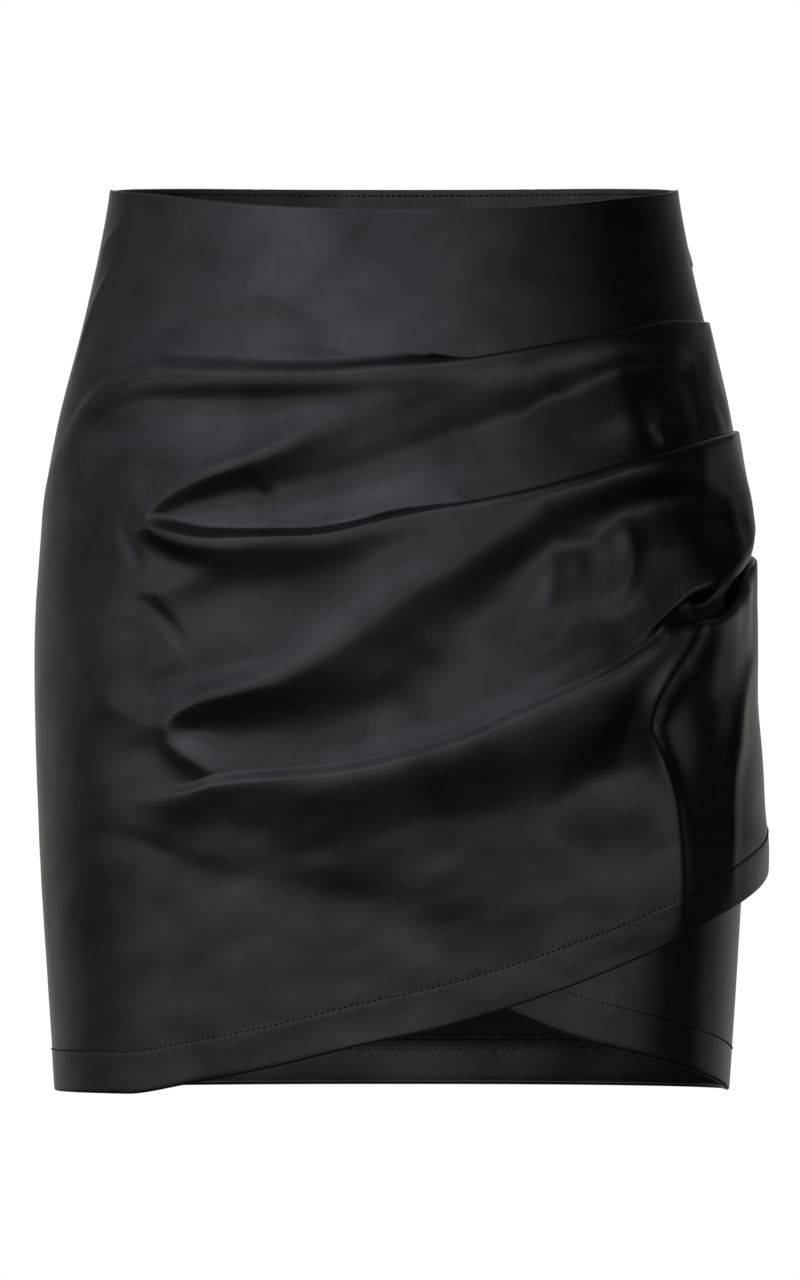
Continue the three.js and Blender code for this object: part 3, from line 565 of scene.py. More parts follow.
def put_mesh(name, points, faces, materials, slots=None, uv=None, marks=None):
    """Mesh object from points, a list of face arrays and its materials, smooth all over."""
    mesh = bpy.data.meshes.new(name)
    flat = [face for group in faces for face in group.tolist()]
    mesh.from_pydata(np.asarray(points).reshape(-1, 3).tolist(), [], flat)
    mesh.polygons.foreach_set("use_smooth", np.ones(len(flat), bool))
    for material in materials:
        mesh.materials.append(material)
    if slots is not None:
        mesh.polygons.foreach_set("material_index", np.concatenate(slots).astype(np.int32))
    if uv is not None:
        corner = np.empty(len(mesh.loops), np.int32)
        mesh.loops.foreach_get("vertex_index", corner)
        layer = mesh.uv_layers.new(name="cloth")
        layer.data.foreach_set("uv", np.asarray(uv, np.float32)[corner].ravel())
    for key, values in (marks or {}).items():
        mesh.attributes.new(key, "FLOAT", "POINT").data.foreach_set("value", values.astype(np.float32))
    mesh.update()
    piece = bpy.data.objects.new(name, mesh)
    bpy.context.scene.collection.objects.link(piece)
    return piece


def wall_piece(name, across, places, outer, inner, materials, inside_turn):
    """Closed shell of a panel. outer and inner are (down, lift) grids over the same columns, and
    their first and last rows meet round the panel's folded edges. places are the two grids of the
    points' own across, moved aside where a slit opens. inside_turn says, for each inner row,
    whether it is the turned-up hem, which shows the cloth's right side."""
    down, down_in = outer[0], inner[0]
    rows, columns = down.shape
    points = [body_point(place, *grid).reshape(-1, 3) for place, grid in zip(places, (outer, inner))]
    all_ids = np.arange(down.size + down_in.size).reshape(-1, columns)
    ids, ids_in = all_ids[:rows], all_ids[rows:]
    faces = [
        grid_quads(ids),
        grid_quads(ids_in)[:, ::-1],
        grid_quads(np.stack([ids_in[0], ids[0]])),
        grid_quads(np.stack([ids[-1], ids_in[-1]])),
        chain_strip(ids[:, 0], ids_in[:, 0], down[:, 0], down_in[:, 0]),
        chain_strip(ids[:, -1], ids_in[:, -1], down[:, -1], down_in[:, -1])[:, ::-1],
    ]
    slots = [np.zeros(len(f)) for f in faces]
    turned = inside_turn[:-1] & inside_turn[1:]
    slots[1] = np.repeat(np.where(turned, 0, 1), columns - 1)
    flat = [np.stack([np.broadcast_to(across, d.shape), -d], -1).reshape(-1, 2) for d in (down, down_in)]
    crest = {"crest": crests(outer[1], down_in.size)}
    return put_mesh(name, np.concatenate(points), faces, materials, slots, np.concatenate(flat) * MM, crest)


def crests(lift, others):
    """0 to 1 where the outer face is a crest: how far a point stands above the mean of its
    neighbours a few rows up and down. The inner points get 0."""
    reach = 3
    padded = np.pad(lift, ((reach, reach), (0, 0)), mode="edge")
    mean = (padded[: -2 * reach] + padded[2 * reach :]) / 2
    return np.concatenate([np.clip((lift - mean) / CREST_HEIGHT, 0, 1).ravel(), np.zeros(others)])


def round_edge(edge, outer_lift, inner_lift, upwards):
    """Rows round a folded edge: a half circle from the outer face to the inner one. Returns the
    outer rows from the fold to the face, and the inner rows in the same order."""
    middle, radius = (outer_lift + inner_lift) / 2, (outer_lift - inner_lift) / 2
    turns = np.radians(EDGE_TURNS)[:, None]
    sign = 1 if upwards else -1
    down = edge + sign * radius * (1 - np.sin(turns))
    return (down, middle + radius * np.cos(turns)), (down[1:], (middle - radius * np.cos(turns))[1:])


def with_edges(outer, inner, top, hem):
    """Adds the rounded waist and hem edges to a panel's outer and inner rows."""
    tops = round_edge(top, outer[1][0], inner[1][0], True)
    hems = round_edge(hem, outer[1][-1], inner[1][-1], False)
    joined = []
    for k, side in enumerate((outer, inner)):
        joined.append(tuple(np.concatenate([tops[k][i], side[i], hems[k][i][::-1]]) for i in (0, 1)))
    return joined


# Finishes


def node(tree, kind, place, **settings):
    """New shader node. A setting that starts with in_ is an input's value."""
    made = tree.nodes.new(kind)
    made.location = place
    for key, value in settings.items():
        if key.startswith("in_"):
            made.inputs[key[3:].replace("_", " ")].default_value = value
        else:
            setattr(made, key, value)
    return made


def feed(tree, socket, value):
    """Gives a socket a number or a link."""
    if isinstance(value, (int, float)):
        socket.default_value = value
    else:
        tree.links.new(value, socket)


def maths(tree, operation, place, *values, clamp=False):
    """Math node on up to three numbers or sockets."""
    made = node(tree, "ShaderNodeMath", place, operation=operation, use_clamp=clamp)
    for socket, value in zip(made.inputs, values):
        feed(tree, socket, value)
    return made.outputs[0]


def pattern(tree, kind, place, vector, **settings):
    """Texture node that reads a vector socket."""
    made = node(tree, kind, place, **settings)
    tree.links.new(vector, made.inputs["Vector"])
    return made


def relief(tree, shader, height, strength, distance, place):
    """Bump from a height socket into the shader's normal."""
    bump = node(tree, "ShaderNodeBump", place, in_Strength=strength, in_Distance=distance)
    tree.links.new(height, bump.inputs["Height"])
    tree.links.new(bump.outputs["Normal"], shader.inputs["Normal"])


def colour_mix(tree, factor, place):
    """Mix of two colours by a factor socket: the node and its output."""
    mix = node(tree, "ShaderNodeMix", place, data_type="RGBA")
    tree.links.new(factor, mix.inputs["Factor"])
    return mix, next(o for o in mix.outputs if o.type == "RGBA")


def shaded(tree, factor, colour, darkest, lightest, place):
    """A colour times a share between the darkest and the lightest, by a factor socket."""
    mix, out = colour_mix(tree, factor, place)
    mix.inputs["A"].default_value = (*(darkest * c for c in colour), 1)
    mix.inputs["B"].default_value = (*(lightest * c for c in colour), 1)
    return out


def new_group(name, inputs, outputs):
    """Shader node group with named sockets. Returns it with its two end nodes."""
    group = bpy.data.node_groups.new(name, "ShaderNodeTree")
    for title, kind, default in inputs:
        socket = group.interface.new_socket(title, in_out="INPUT", socket_type=kind)
        if default is not None:
            socket.default_value = default
    for title, kind in outputs:
        group.interface.new_socket(title, in_out="OUTPUT", socket_type=kind)
    start = node(group, "NodeGroupInput", (-1100, 0))
    end = node(group, "NodeGroupOutput", (500, 0))
    return group, start, end


VALUE, VECTOR = "NodeSocketFloat", "NodeSocketVector"


def grain_group():
    """Leather grain: pebbles between fine creases, on a slower unevenness of the skin."""
    if "Leather grain" in bpy.data.node_groups:
        return bpy.data.node_groups["Leather grain"]
    group, start, end = new_group(
        "Leather grain",
        [("Vector", VECTOR, None), ("Pebble size", VALUE, 0.0009), ("Unevenness", VALUE, 0.4)],
        [("Height", VALUE), ("Creases", VALUE), ("Patches", VALUE)],
    )
    scale = maths(group, "DIVIDE", (-900, -200), 1.0, start.outputs["Pebble size"])
    spot = start.outputs["Vector"]
    cells = pattern(group, "ShaderNodeTexVoronoi", (-700, 150), spot, feature="DISTANCE_TO_EDGE")
    group.links.new(scale, cells.inputs["Scale"])
    pebble = maths(group, "MULTIPLY", (-500, 150), cells.outputs["Distance"], 2.2, clamp=True)
    rough = pattern(group, "ShaderNodeTexNoise", (-700, -150), spot, in_Scale=160.0, in_Detail=3.0)
    patches = pattern(
        group, "ShaderNodeTexNoise", (-700, -420), spot, in_Scale=24.0, in_Detail=3.0, in_Distortion=0.6
    )
    uneven = maths(group, "MULTIPLY", (-350, -150), rough.outputs[0], start.outputs["Unevenness"])
    group.links.new(maths(group, "ADD", (-100, 60), pebble, uneven), end.inputs["Height"])
    group.links.new(maths(group, "SUBTRACT", (-100, 220), 1.0, pebble, clamp=True), end.inputs["Creases"])
    group.links.new(patches.outputs[0], end.inputs["Patches"])
    return group


def crest_highlight_group():
    """Painted highlight: a mask along fold crests, broken up by noise, where the colour is painted lighter.
    """
    if "Painted crest highlight" in bpy.data.node_groups:
        return bpy.data.node_groups["Painted crest highlight"]
    group, start, end = new_group(
        "Painted crest highlight",
        [("Crest", VALUE, 0.0), ("Vector", VECTOR, None), ("Amount", VALUE, 0.3)],
        [("Mask", VALUE)],
    )
    spot = start.outputs["Vector"]
    broken = pattern(group, "ShaderNodeTexNoise", (-700, -150), spot, in_Scale=210.0, in_Detail=4.0)
    part = maths(group, "MULTIPLY", (-450, 0), start.outputs["Crest"], broken.outputs[0])
    mask = maths(group, "MULTIPLY", (-200, 0), part, start.outputs["Amount"], clamp=True)
    group.links.new(mask, end.inputs["Mask"])
    return group


def weave_group():
    """Knitted or woven backing: two crossed sets of yarns from the piece's own UV map. Its second output is
    random fuzz times the yarns' height, so the colour is painted darker between the yarns: painted shade.
    """
    if "Backing weave" in bpy.data.node_groups:
        return bpy.data.node_groups["Backing weave"]
    group, start, end = new_group(
        "Backing weave",
        [("Vector", VECTOR, None), ("Yarns per metre", VALUE, 1500.0)],
        [("Height", VALUE), ("Fuzz and painted shade", VALUE)],
    )
    parts = node(group, "ShaderNodeSeparateXYZ", (-900, 0))
    group.links.new(start.outputs["Vector"], parts.inputs[0])
    yarns = []
    for k, y in ((0, 120), (1, -120)):
        turns = maths(group, "MULTIPLY", (-700, y), parts.outputs[k], start.outputs["Yarns per metre"])
        yarns.append(maths(group, "SINE", (-520, y), maths(group, "MULTIPLY", (-610, y), turns, 2 * math.pi)))
    both = maths(group, "MULTIPLY", (-330, 0), *yarns)
    height = maths(group, "MULTIPLY_ADD", (-150, 0), both, 0.5, 0.5)
    group.links.new(height, end.inputs["Height"])
    spot = start.outputs["Vector"]
    fuzz = pattern(group, "ShaderNodeTexNoise", (-700, -350), spot, in_Scale=900.0, in_Detail=2.0)
    # Random fuzz times the yarns' height: random tone, and painted shade between the yarns.
    group.links.new(maths(group, "MULTIPLY", (-100, -250), fuzz.outputs[0], height), end.inputs["Fuzz and painted shade"])
    return group


def placed_group(tree, group, place, **values):
    """A group's node in a material, with its own values and links."""
    made = node(tree, "ShaderNodeGroup", place, node_tree=group)
    for key, value in values.items():
        feed(tree, made.inputs[key.replace("_", " ")], value)
    return made


def new_material(name):
    """Node material, its tree and its shader."""
    material = bpy.data.materials.new(name)
    material.use_nodes = True
    tree = material.node_tree
    return material, tree, tree.nodes["Principled BSDF"]


def leather(name, sizes, colour=None, dull=0.0):
    """Soft coated leather: grain in the bump, faint patches in the colour and gloss, and fold crests painted
    lighter in the colour as a painted highlight."""
    if name in bpy.data.materials:
        return bpy.data.materials[name]
    material, tree, shader = new_material(name)
    spot = node(tree, "ShaderNodeTexCoord", (-1300, 0)).outputs["Object"]
    crest = node(tree, "ShaderNodeAttribute", (-1300, -300), attribute_name="crest").outputs["Fac"]
    size = sizes.pebble
    grain = placed_group(tree, grain_group(), (-1000, 0), Vector=spot, Pebble_size=size, Unevenness=0.5)
    highlight_mask = placed_group(tree, crest_highlight_group(), (-1000, -300), Crest=crest, Vector=spot, Amount=0.35)
    patches = grain.outputs["Patches"]
    base = colour or tuple(sizes.colour)
    highlighted, highlighted_colour = colour_mix(tree, highlight_mask.outputs["Mask"], (-450, 200))
    tree.links.new(shaded(tree, patches, base, 0.82, 1.2, (-700, 200)), highlighted.inputs["A"])
    # Where the crest mask is full, the colour is painted 2.2 times lighter: a painted highlight along the
    # fold crests.
    highlighted.inputs["B"].default_value = (*(2.2 * c for c in base), 1)
    tree.links.new(highlighted_colour, shader.inputs["Base Color"])
    rough = maths(tree, "MULTIPLY", (-700, -80), patches, 0.1)
    rough = maths(tree, "ADD", (-540, -80), rough, sizes.roughness - 0.05 + dull)
    creased = maths(tree, "MULTIPLY", (-700, -220), grain.outputs["Creases"], 0.06)
    tree.links.new(maths(tree, "ADD", (-380, -80), rough, creased), shader.inputs["Roughness"])
    relief(tree, shader, grain.outputs["Height"], 0.35, sizes.grain_depth, (-380, -320))
    shine = maths(tree, "MULTIPLY_ADD", (-380, -560), patches, 0.7, 0.17)
    tree.links.new(shine, shader.inputs["Specular IOR Level"])
    return material


def backing(name, colour, yarns, roughness):
    """Cloth side of the coated leather, or a woven tape."""
    if name in bpy.data.materials:
        return bpy.data.materials[name]
    material, tree, shader = new_material(name)
    spot = node(tree, "ShaderNodeUVMap", (-1100, 0), uv_map="cloth").outputs[0]
    weave = placed_group(tree, weave_group(), (-850, 0), Vector=spot, Yarns_per_metre=yarns)
    # The colour follows the weave's height and is darker between the yarns: painted shade, broken up by
    # random fuzz.
    tone = shaded(tree, weave.outputs["Fuzz and painted shade"], colour, 0.75, 1.6, (-550, 150))
    tree.links.new(tone, shader.inputs["Base Color"])
    relief(tree, shader, weave.outputs["Height"], 0.4, 0.0001, (-450, -250))
    shader.inputs["Roughness"].default_value = roughness
    shader.inputs["Sheen Weight"].default_value = 0.2
    shader.inputs["Specular IOR Level"].default_value = 0.25
    return material


def thread(name, colour, shine=0.08):
    """Twisted sewing thread: slanting ply lines from Object coordinates, with the colour painted darker in
    the grooves between plies as painted shade.
    """
    if name in bpy.data.materials:
        return bpy.data.materials[name]
    material, tree, shader = new_material(name)
    spot = node(tree, "ShaderNodeTexCoord", (-900, 0)).outputs["Object"]
    ply = pattern(tree, "ShaderNodeTexWave", (-650, 0), spot, in_Scale=900.0, in_Distortion=1.5)
    ply = ply.outputs["Fac"]
    # The colour follows the ply's height and is darker in its grooves: painted shade.
    tree.links.new(shaded(tree, ply, colour, 0.7, 1.5, (-400, 100)), shader.inputs["Base Color"])
    relief(tree, shader, ply, 0.5, 0.00005, (-400, -200))
    shader.inputs["Roughness"].default_value = 0.75
    shader.inputs["Specular IOR Level"].default_value = shine
    return material


def lacquered_metal(name, colour):
    """Black lacquer on the zip's slider and pull: glossy, with fine rubbed marks."""
    if name in bpy.data.materials:
        return bpy.data.materials[name]
    material, tree, shader = new_material(name)
    spot = node(tree, "ShaderNodeTexCoord", (-900, 0)).outputs["Object"]
    marks = pattern(tree, "ShaderNodeTexNoise", (-650, 0), spot, in_Scale=1400.0, in_Detail=4.0).outputs[0]
    tree.links.new(shaded(tree, marks, colour, 0.8, 1.4, (-400, 150)), shader.inputs["Base Color"])
    rough = maths(tree, "MULTIPLY_ADD", (-240, -50), marks, 0.25, 0.18)
    tree.links.new(rough, shader.inputs["Roughness"])
    relief(tree, shader, marks, 0.2, 0.00002, (-240, -300))
    return material


def shell_cloth(finish):
    """The panels' two sides: coated leather outside, its backing inside."""
    return [leather("Black leather", finish), backing("Leather backing", BACKING_COLOUR, 1500, 0.85)]


# Sizes a user would change


class SkirtLeather(bpy.types.PropertyGroup):
    colour: FloatVectorProperty(
        name="Colour", description="Colour of the coated leather", subtype="COLOR", min=0, max=1,
        default=(0.0045, 0.0046, 0.0052),
    )
    roughness: FloatProperty(
        name="Roughness", description="Dullness of the leather", default=0.18, min=0.05, max=1,
    )
    pebble: FloatProperty(
        name="Pebble size", description="Width of one pebble of the grain", default=0.0009,
        unit="LENGTH", precision=5,
    )
    grain_depth: FloatProperty(
        name="Grain depth", description="Depth of the creases between pebbles", default=0.00004,
        unit="LENGTH", precision=6,
    )


class SkirtCut(bpy.types.PropertyGroup):
    cloth: FloatProperty(
        name="Cloth", description="Thickness of the cloth in mm", default=CLOTH, min=0.6, max=2.5,
    )
    hem: FloatProperty(
        name="Hem", description="Depth of the front's turned-up hems in mm", default=20, min=8, max=40,
    )
    inside_hem: FloatProperty(
        name="Inside hem", description="Depth of the back's turned-up hem in mm", default=22, min=8, max=40,
    )


class SkirtStitches(bpy.types.PropertyGroup):
    pitch: FloatProperty(
        name="Pitch", description="Distance from stitch to stitch in mm", default=2.7, min=1, max=8,
    )
    length: FloatProperty(
        name="Stitch length", description="Length of one stitch in mm", default=1.9, min=0.5, max=7,
    )
    thread: FloatProperty(
        name="Thread", description="Thickness of the thread in mm", default=0.6, min=0.1, max=1,
    )
    colour: FloatVectorProperty(
        name="Thread colour", description="Colour of the thread", subtype="COLOR", min=0, max=1,
        default=(0.003, 0.003, 0.0035),
    )


class SkirtStage(bpy.types.PropertyGroup):
    light: FloatProperty(
        name="Light", description="Strength of the studio light", default=1.0, min=0, max=20,
    )
    distance: FloatProperty(
        name="Camera distance", description="From the camera to the skirt", default=8.0, unit="LENGTH",
    )
    floor: FloatProperty(
        name="Floor", description="Height of the floor", default=-0.95, unit="LENGTH",
    )
    floor_glow: FloatProperty(
        name="Floor light", description="Brightness of the lit floor itself", default=0.72, min=0,
    )


# Pieces


# Rows of the draped front above each fold, from the waist down, below the last fold, and inside.
ROWS_ABOVE = {"upper": 34, "middle": 30, "roll": 34, "lower": 18}
ROWS_BELOW = 44
ROWS_AT_HEM = 8
ROWS_INSIDE = 40
# How far the rows go back behind the roll's edge, as a share of its drop, and behind a pressed
# pleat's edge, as a share of its rise. Where there is no roll, its rows spread over ROLL_SPREAD.
ROLL_TUCK = 0.9
PLEAT_TUCK = 0.45
ROLL_SPREAD = 6
# The inner face lies under the lowest cloth at these distances above and below it.
NEARBY = (-7, -3.5, 0, 3.5, 7)


def over_front_shape(cut, across):
    """Outer and inner (down, lift) grids of the draped front. Its rows follow the waist, the fold
    edges, the roll and the hem. Where a pleat is crisp its rows go round a half circle, from the
    cloth above it out to the pleat, and the roll does the same downwards."""
    waist, hem = line(WAIST_LINE, across), line(OVER_HEM, across)
    radius = cut.cloth
    stitch = hem - cut.hem + 1
    downs, shares = [], []
    share = {name: np.full(across.shape, float(name == "roll")) for name in ROWS_ABOVE}

    def add(down):
        downs.append(down)
        shares.append(dict(share))

    def band(start, end, steps):
        for t in np.linspace(0, 1, steps + 1)[1:-1]:
            add(start + (end - start) * t)

    last = waist + radius
    add(last)
    for name, steps in ROWS_ABOVE.items():
        if name == "roll":
            rows, crisp = roll_rows(across)
        else:
            rows, crisp = pleat_rows(PLEATS[name], across, last)
        band(last, rows[0], steps)
        for t, row in zip(FOLD_TURNS, rows):
            grown = 0.5 + 0.5 * math.sin(t)
            grown = (1 - crisp) * smooth_step(grown) + crisp * grown
            share[name] = 1 - grown if name == "roll" else grown
            add(row)
        last = rows[-1]
    band(last, stitch + STITCH_ROWS[0], ROWS_BELOW)
    for offset in STITCH_ROWS:
        add(stitch + offset)
    band(stitch + STITCH_ROWS[-1], hem - radius, ROWS_AT_HEM)
    add(hem - radius)
    down = np.array(downs)
    wide = np.broadcast_to(across, down.shape)
    part = {name: np.array([at[name] for at in shares]) for name in share}
    height = drape_base(wide, down) + part["roll"] * roll_part(wide, down)
    for name, rows_of in PLEATS.items():
        height = height + part[name] * pleat_part(rows_of, wide, down)
    lift = front_lift(cut, wide, down, height, stitch)
    # The inner face lies under the lowest cloth nearby, and never above the under front.
    turn = hem - cut.hem
    plain = waist + radius + (turn - waist - radius) * np.linspace(0, 1, ROWS_INSIDE)[:, None]
    down_in = np.concatenate([plain, [turn + 0.9, turn + 9, hem - radius]])
    wide_in = np.broadcast_to(across, down_in.shape)
    near = [inner_height(wide_in, down_in + offset) for offset in NEARBY]
    lift_in = front_lift(cut, wide_in, down_in, np.min(near, axis=0), stitch) - cut.cloth
    turned = np.arange(len(down_in)) >= len(plain)
    lift_in[turned] -= 0.9 * cut.cloth * (1 - rise(across, *OVERLAP_ACROSS))
    return (down, lift), (down_in, lift_in), turned


def roll_rows(across):
    """Rows round the roll's lower edge, and 1 where it hangs over a hollow. There a row's place
    is the edge less depth * (1 - cos t), and elsewhere the rows spread over ROLL_SPREAD."""
    edge, drop = line(ROLL, across), along(ROLL, "across", "drop", across)
    crisp = smooth_step(drop / 3)
    depth = ROLL_TUCK * drop * crisp
    soft = (1 - crisp) * ROLL_SPREAD
    return [edge - depth * (1 - np.cos(t)) + soft * (0.5 + 0.5 * np.sin(t)) for t in FOLD_TURNS], crisp


def pleat_rows(rows_of, across, last):
    """Rows round a pleat's fold edge, and its crispness. On a soft roll they run over the height
    on which it rises, and on a pressed fold a row's place is the edge + depth * (1 - cos t)."""
    edge, crisp = line(rows_of, across), along(rows_of, "across", "crisp", across)
    depth = PLEAT_TUCK * along(rows_of, "across", "rise", across)
    start = np.maximum(edge - along(rows_of, "across", "soft", across), last + 0.6)
    rows = []
    for t in FOLD_TURNS:
        rolled = edge - (edge - start) * (0.5 - 0.5 * np.sin(t))
        rows.append((1 - crisp) * rolled + crisp * (edge + depth * (1 - np.cos(t))))
    return rows, crisp


def inner_height(across, down):
    """Height of the cloth as seen from inside, where crisp pleats don't show."""
    over_roll = smooth_step((line(ROLL, across) + 2 - down) / 8)
    height = drape_base(across, down) + ROLL_SHARE_INSIDE * over_roll * roll_part(across, down)
    for rows_of in PLEATS.values():
        soft = along(rows_of, "across", "soft", across) + 0.01
        grown = smooth_step(1 + np.minimum(0, down - line(rows_of, across)) / soft)
        rolled = 1 - along(rows_of, "across", "crisp", across)
        height = height + rolled * grown * pleat_part(rows_of, across, down)
    return height


def hem_relief(across, down, stitch, puckers):
    """Relief of a stitched hem: a ridge from the stitch line down, where the turning lies beneath,
    and a groove on that line, which the puckers make uneven."""
    ridge = HEM_RIDGE * rise(down - stitch, -1.5, 0.5)
    return ridge + swell(down - stitch, *HEM_GROOVE) * (1 + waves(puckers, across, down))


def front_lift(cut, across, down, height, stitch):
    """Outer face of the draped front over the body form: the eased height and the cloth, less at
    the sides, which are sewn into their seams, and more over the under front's hem."""
    overlap = rise(across, *OVERLAP_ACROSS) * rise(down, *OVERLAP_DOWN)
    lift = eased(height) * into_seam(across) + 0.9 * overlap
    return lift + cut.cloth + hem_relief(across, down, stitch, OVER_HEM_WAVES)


# Rows inside a panel with a turned-up hem, and without one, and below a hem's stitches outside.
PANEL_ROWS_INSIDE = 26
STRIP_ROWS_INSIDE = 8
PANEL_ROWS_AT_HEM = 7
STITCH_MARGIN = 5


def panel_shape(cut, across, top, hem, face, rows, cloth=None, inside_hem=None, bumps=None, stitch=None):
    """Outer and inner (down, lift) grids of a plain panel between two lines. face is the lift of
    its outer face, and bumps adds the relief of its own seams and waves."""
    cloth = cloth or cut.cloth
    turn = hem - (inside_hem or 2)
    radius = cloth if inside_hem else cloth / 2
    start, end = top + radius, hem - radius
    down = start + (end - start) * np.linspace(0, 1, rows)[:, None]
    if stitch is not None:
        offsets = np.array(STITCH_ROWS)[:, None]
        first, last = stitch - STITCH_MARGIN, stitch + STITCH_MARGIN
        above = start + (first - start) * np.linspace(0, 1, rows)[:, None]
        below = last + (end - last) * np.linspace(0, 1, PANEL_ROWS_AT_HEM)[:, None]
        down = np.concatenate([above, stitch + offsets, below])
    inner_rows = PANEL_ROWS_INSIDE if inside_hem else STRIP_ROWS_INSIDE
    down_in = start + (turn - start) * np.linspace(0, 1, inner_rows)[:, None]
    folded = turn + (end - turn) * TURNED_ROWS[:, None] if inside_hem else [end]
    down_in = np.concatenate([down_in, folded])

    def lifted(at):
        return face + (bumps(np.broadcast_to(across, at.shape), at) if bumps else 0 * at)

    lift, lift_in = lifted(down), lifted(down_in) - cloth
    if stitch is not None:
        lift = lift + hem_relief(across, down, stitch, HEM_WAVES)
    turned = (np.arange(len(down_in)) >= inner_rows) & bool(inside_hem)
    if inside_hem:
        lift_in[turned] -= TURNED_DEPTH[:, None] * cloth
    return (down, lift), (down_in, lift_in), turned


def finish_wall(name, cut, across, shape, top, hem, materials, edge=None, cloth=None):
    """Rounds a panel's four edges, opens its slit if it has one, and makes the shell."""
    outer, inner, turned = shape
    drop = rounded_side(across, across[0], across[-1], cloth or cut.cloth)
    outer, inner = with_edges((outer[0], outer[1] - drop), (inner[0], inner[1] + drop), top, hem)
    edge_rows = len(EDGE_TURNS) - 1
    turned = np.concatenate([[False] * edge_rows, turned, [True] * edge_rows])
    places = [np.broadcast_to(across, grid[0].shape) for grid in (outer, inner)]
    if edge is not None:
        places = [slit(place, grid[0], edge) for place, grid in zip(places, (outer, inner))]
    return wall_piece(name, across, places, outer, inner, materials, turned)


def inside_face(across):
    """Lift of what lies inside the panels: one layer deeper at the front, where there are two."""
    past_seam = np.abs(across - BACK_MIDDLE) - (BACK_MIDDLE - SEAM_ACROSS)
    return -INSIDE_GAP - rise(past_seam, -12, -2) * (CLOTH + LAYER_GAP)


def settle(piece, slot, *nodes):
    """A piece rides with the skirt and stands for its solids; its slot is not used."""
    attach(piece, "skirt")
    if nodes:
        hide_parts(*nodes)


class SKIRT_OT_over_front(bpy.types.Operator):
    """Draped wrap front with its pleats, soft folds and slanting hem"""

    bl_idname = "skirt.over_front"
    bl_label = "Over front"

    def execute(self, context):
        cut, finish = context.scene.skirt_cut, context.scene.skirt_leather
        edge = SEAM_ACROSS - SEAM_HALF_GAP
        across = seam_columns(-edge, edge, 330)
        shape = over_front_shape(cut, across)
        top, hem = line(WAIST_LINE, across), line(OVER_HEM, across)
        piece = finish_wall("over_front_cloth", cut, across, shape, top, hem, shell_cloth(finish), edge)
        settle(piece, "leather", "over_front")
        return {"FINISHED"}


class SKIRT_OT_under_front(bpy.types.Operator):
    """Plain front under the wrap, with its own topstitched hem"""

    bl_idname = "skirt.under_front"
    bl_label = "Under front"

    def execute(self, context):
        cut, finish = context.scene.skirt_cut, context.scene.skirt_leather
        edge = SEAM_ACROSS - SEAM_HALF_GAP
        across = seam_columns(-edge, edge, 190)
        top, hem = line(WAIST_LINE, across), line(UNDER_HEM, across)

        def bumps(wide, down):
            return waves(UNDER_WAVES, wide, down) - UNDER_WAVES[0][0]

        stitch = hem - cut.hem + 1
        shape = panel_shape(cut, across, top, hem, -LAYER_GAP, 60, None, cut.hem, bumps, stitch)
        # The hem's turning lies inwards here, because the over front lies on the other side.
        shape[0][1][:] = np.minimum(shape[0][1], -LAYER_GAP - 0.02)
        piece = finish_wall("under_front_cloth", cut, across, shape, top, hem, shell_cloth(finish), edge)
        settle(piece, "leather", "under_front")
        return {"FINISHED"}


# The back's darts: where they lie, and the height and width of their groove, ridges and bulge.
DART_ACROSS = 74
DART_RIDGE_OFF = 4
DART_SLANT = 0.05
DART_POINT = 122
DART_CLOSES = (118, 104)
DART_GROOVE = (-0.75, 1.3)
DART_RIDGE = (0.3, 3)
DART_BULGE = (0.7, 16)
# Where the back's waves start and end, where it stands out at the hem, and its step inwards.
BACK_SIDES = (202, 182)
BACK_TOP = (6, 36)
BACK_FLARE = 1.5
BACK_FLARE_DOWN = (378, 408)
BACK_STEP = 1.5
BACK_STEP_DOWN = (300, 316)
BACK_STEP_ACROSS = (266, 250)
BACK_WAVES = ((0.35, 75, 46, 12), (0.15, 34, 26, 13))


def back_relief(across, down):
    """Relief of the back: two dart seams, each a groove between two soft ridges that ends in a
    soft bulge, slow waves between them, and a hem that hangs straight."""
    from_middle = np.abs(across - BACK_MIDDLE)
    relief = waves(BACK_WAVES, across, down) * rise(down, *BACK_TOP) * rise(from_middle, *BACK_SIDES)
    for side in (-1, 1):
        off = np.abs(across - BACK_MIDDLE - side * (DART_ACROSS + DART_SLANT * down))
        sewn = rise(down, *DART_CLOSES)
        relief = relief + sewn * (swell(off, *DART_GROOVE) + swell(off - DART_RIDGE_OFF, *DART_RIDGE))
        relief = relief + swell(np.hypot(off, (down - DART_POINT) * 0.8), *DART_BULGE)
    relief = relief + BACK_FLARE * rise(down, *BACK_FLARE_DOWN) * rise(from_middle, *BACK_SIDES)
    # Below the wrap's hem the back is sewn to the under front, which lies one layer deeper.
    return relief - BACK_STEP * rise(down, *BACK_STEP_DOWN) * rise(across, *BACK_STEP_ACROSS)


class SKIRT_OT_back(bpy.types.Operator):
    """Back panel with its two waist darts and turned-up hem"""

    bl_idname = "skirt.back"
    bl_label = "Back"

    def execute(self, context):
        cut, finish = context.scene.skirt_cut, context.scene.skirt_leather
        edge = SEAM_ACROSS + SEAM_HALF_GAP
        across = seam_columns(edge, HIP_GIRTH - edge, 260)
        top, hem = line(BACK_WAIST, across), line(BACK_HEM, across)
        stitch = hem - cut.inside_hem
        shape = panel_shape(cut, across, top, hem, cut.cloth, 110, None, cut.inside_hem, back_relief, stitch)
        piece = finish_wall("back_cloth", cut, across, shape, top, hem, shell_cloth(finish), edge)
        settle(piece, "leather", "back")
        return {"FINISHED"}


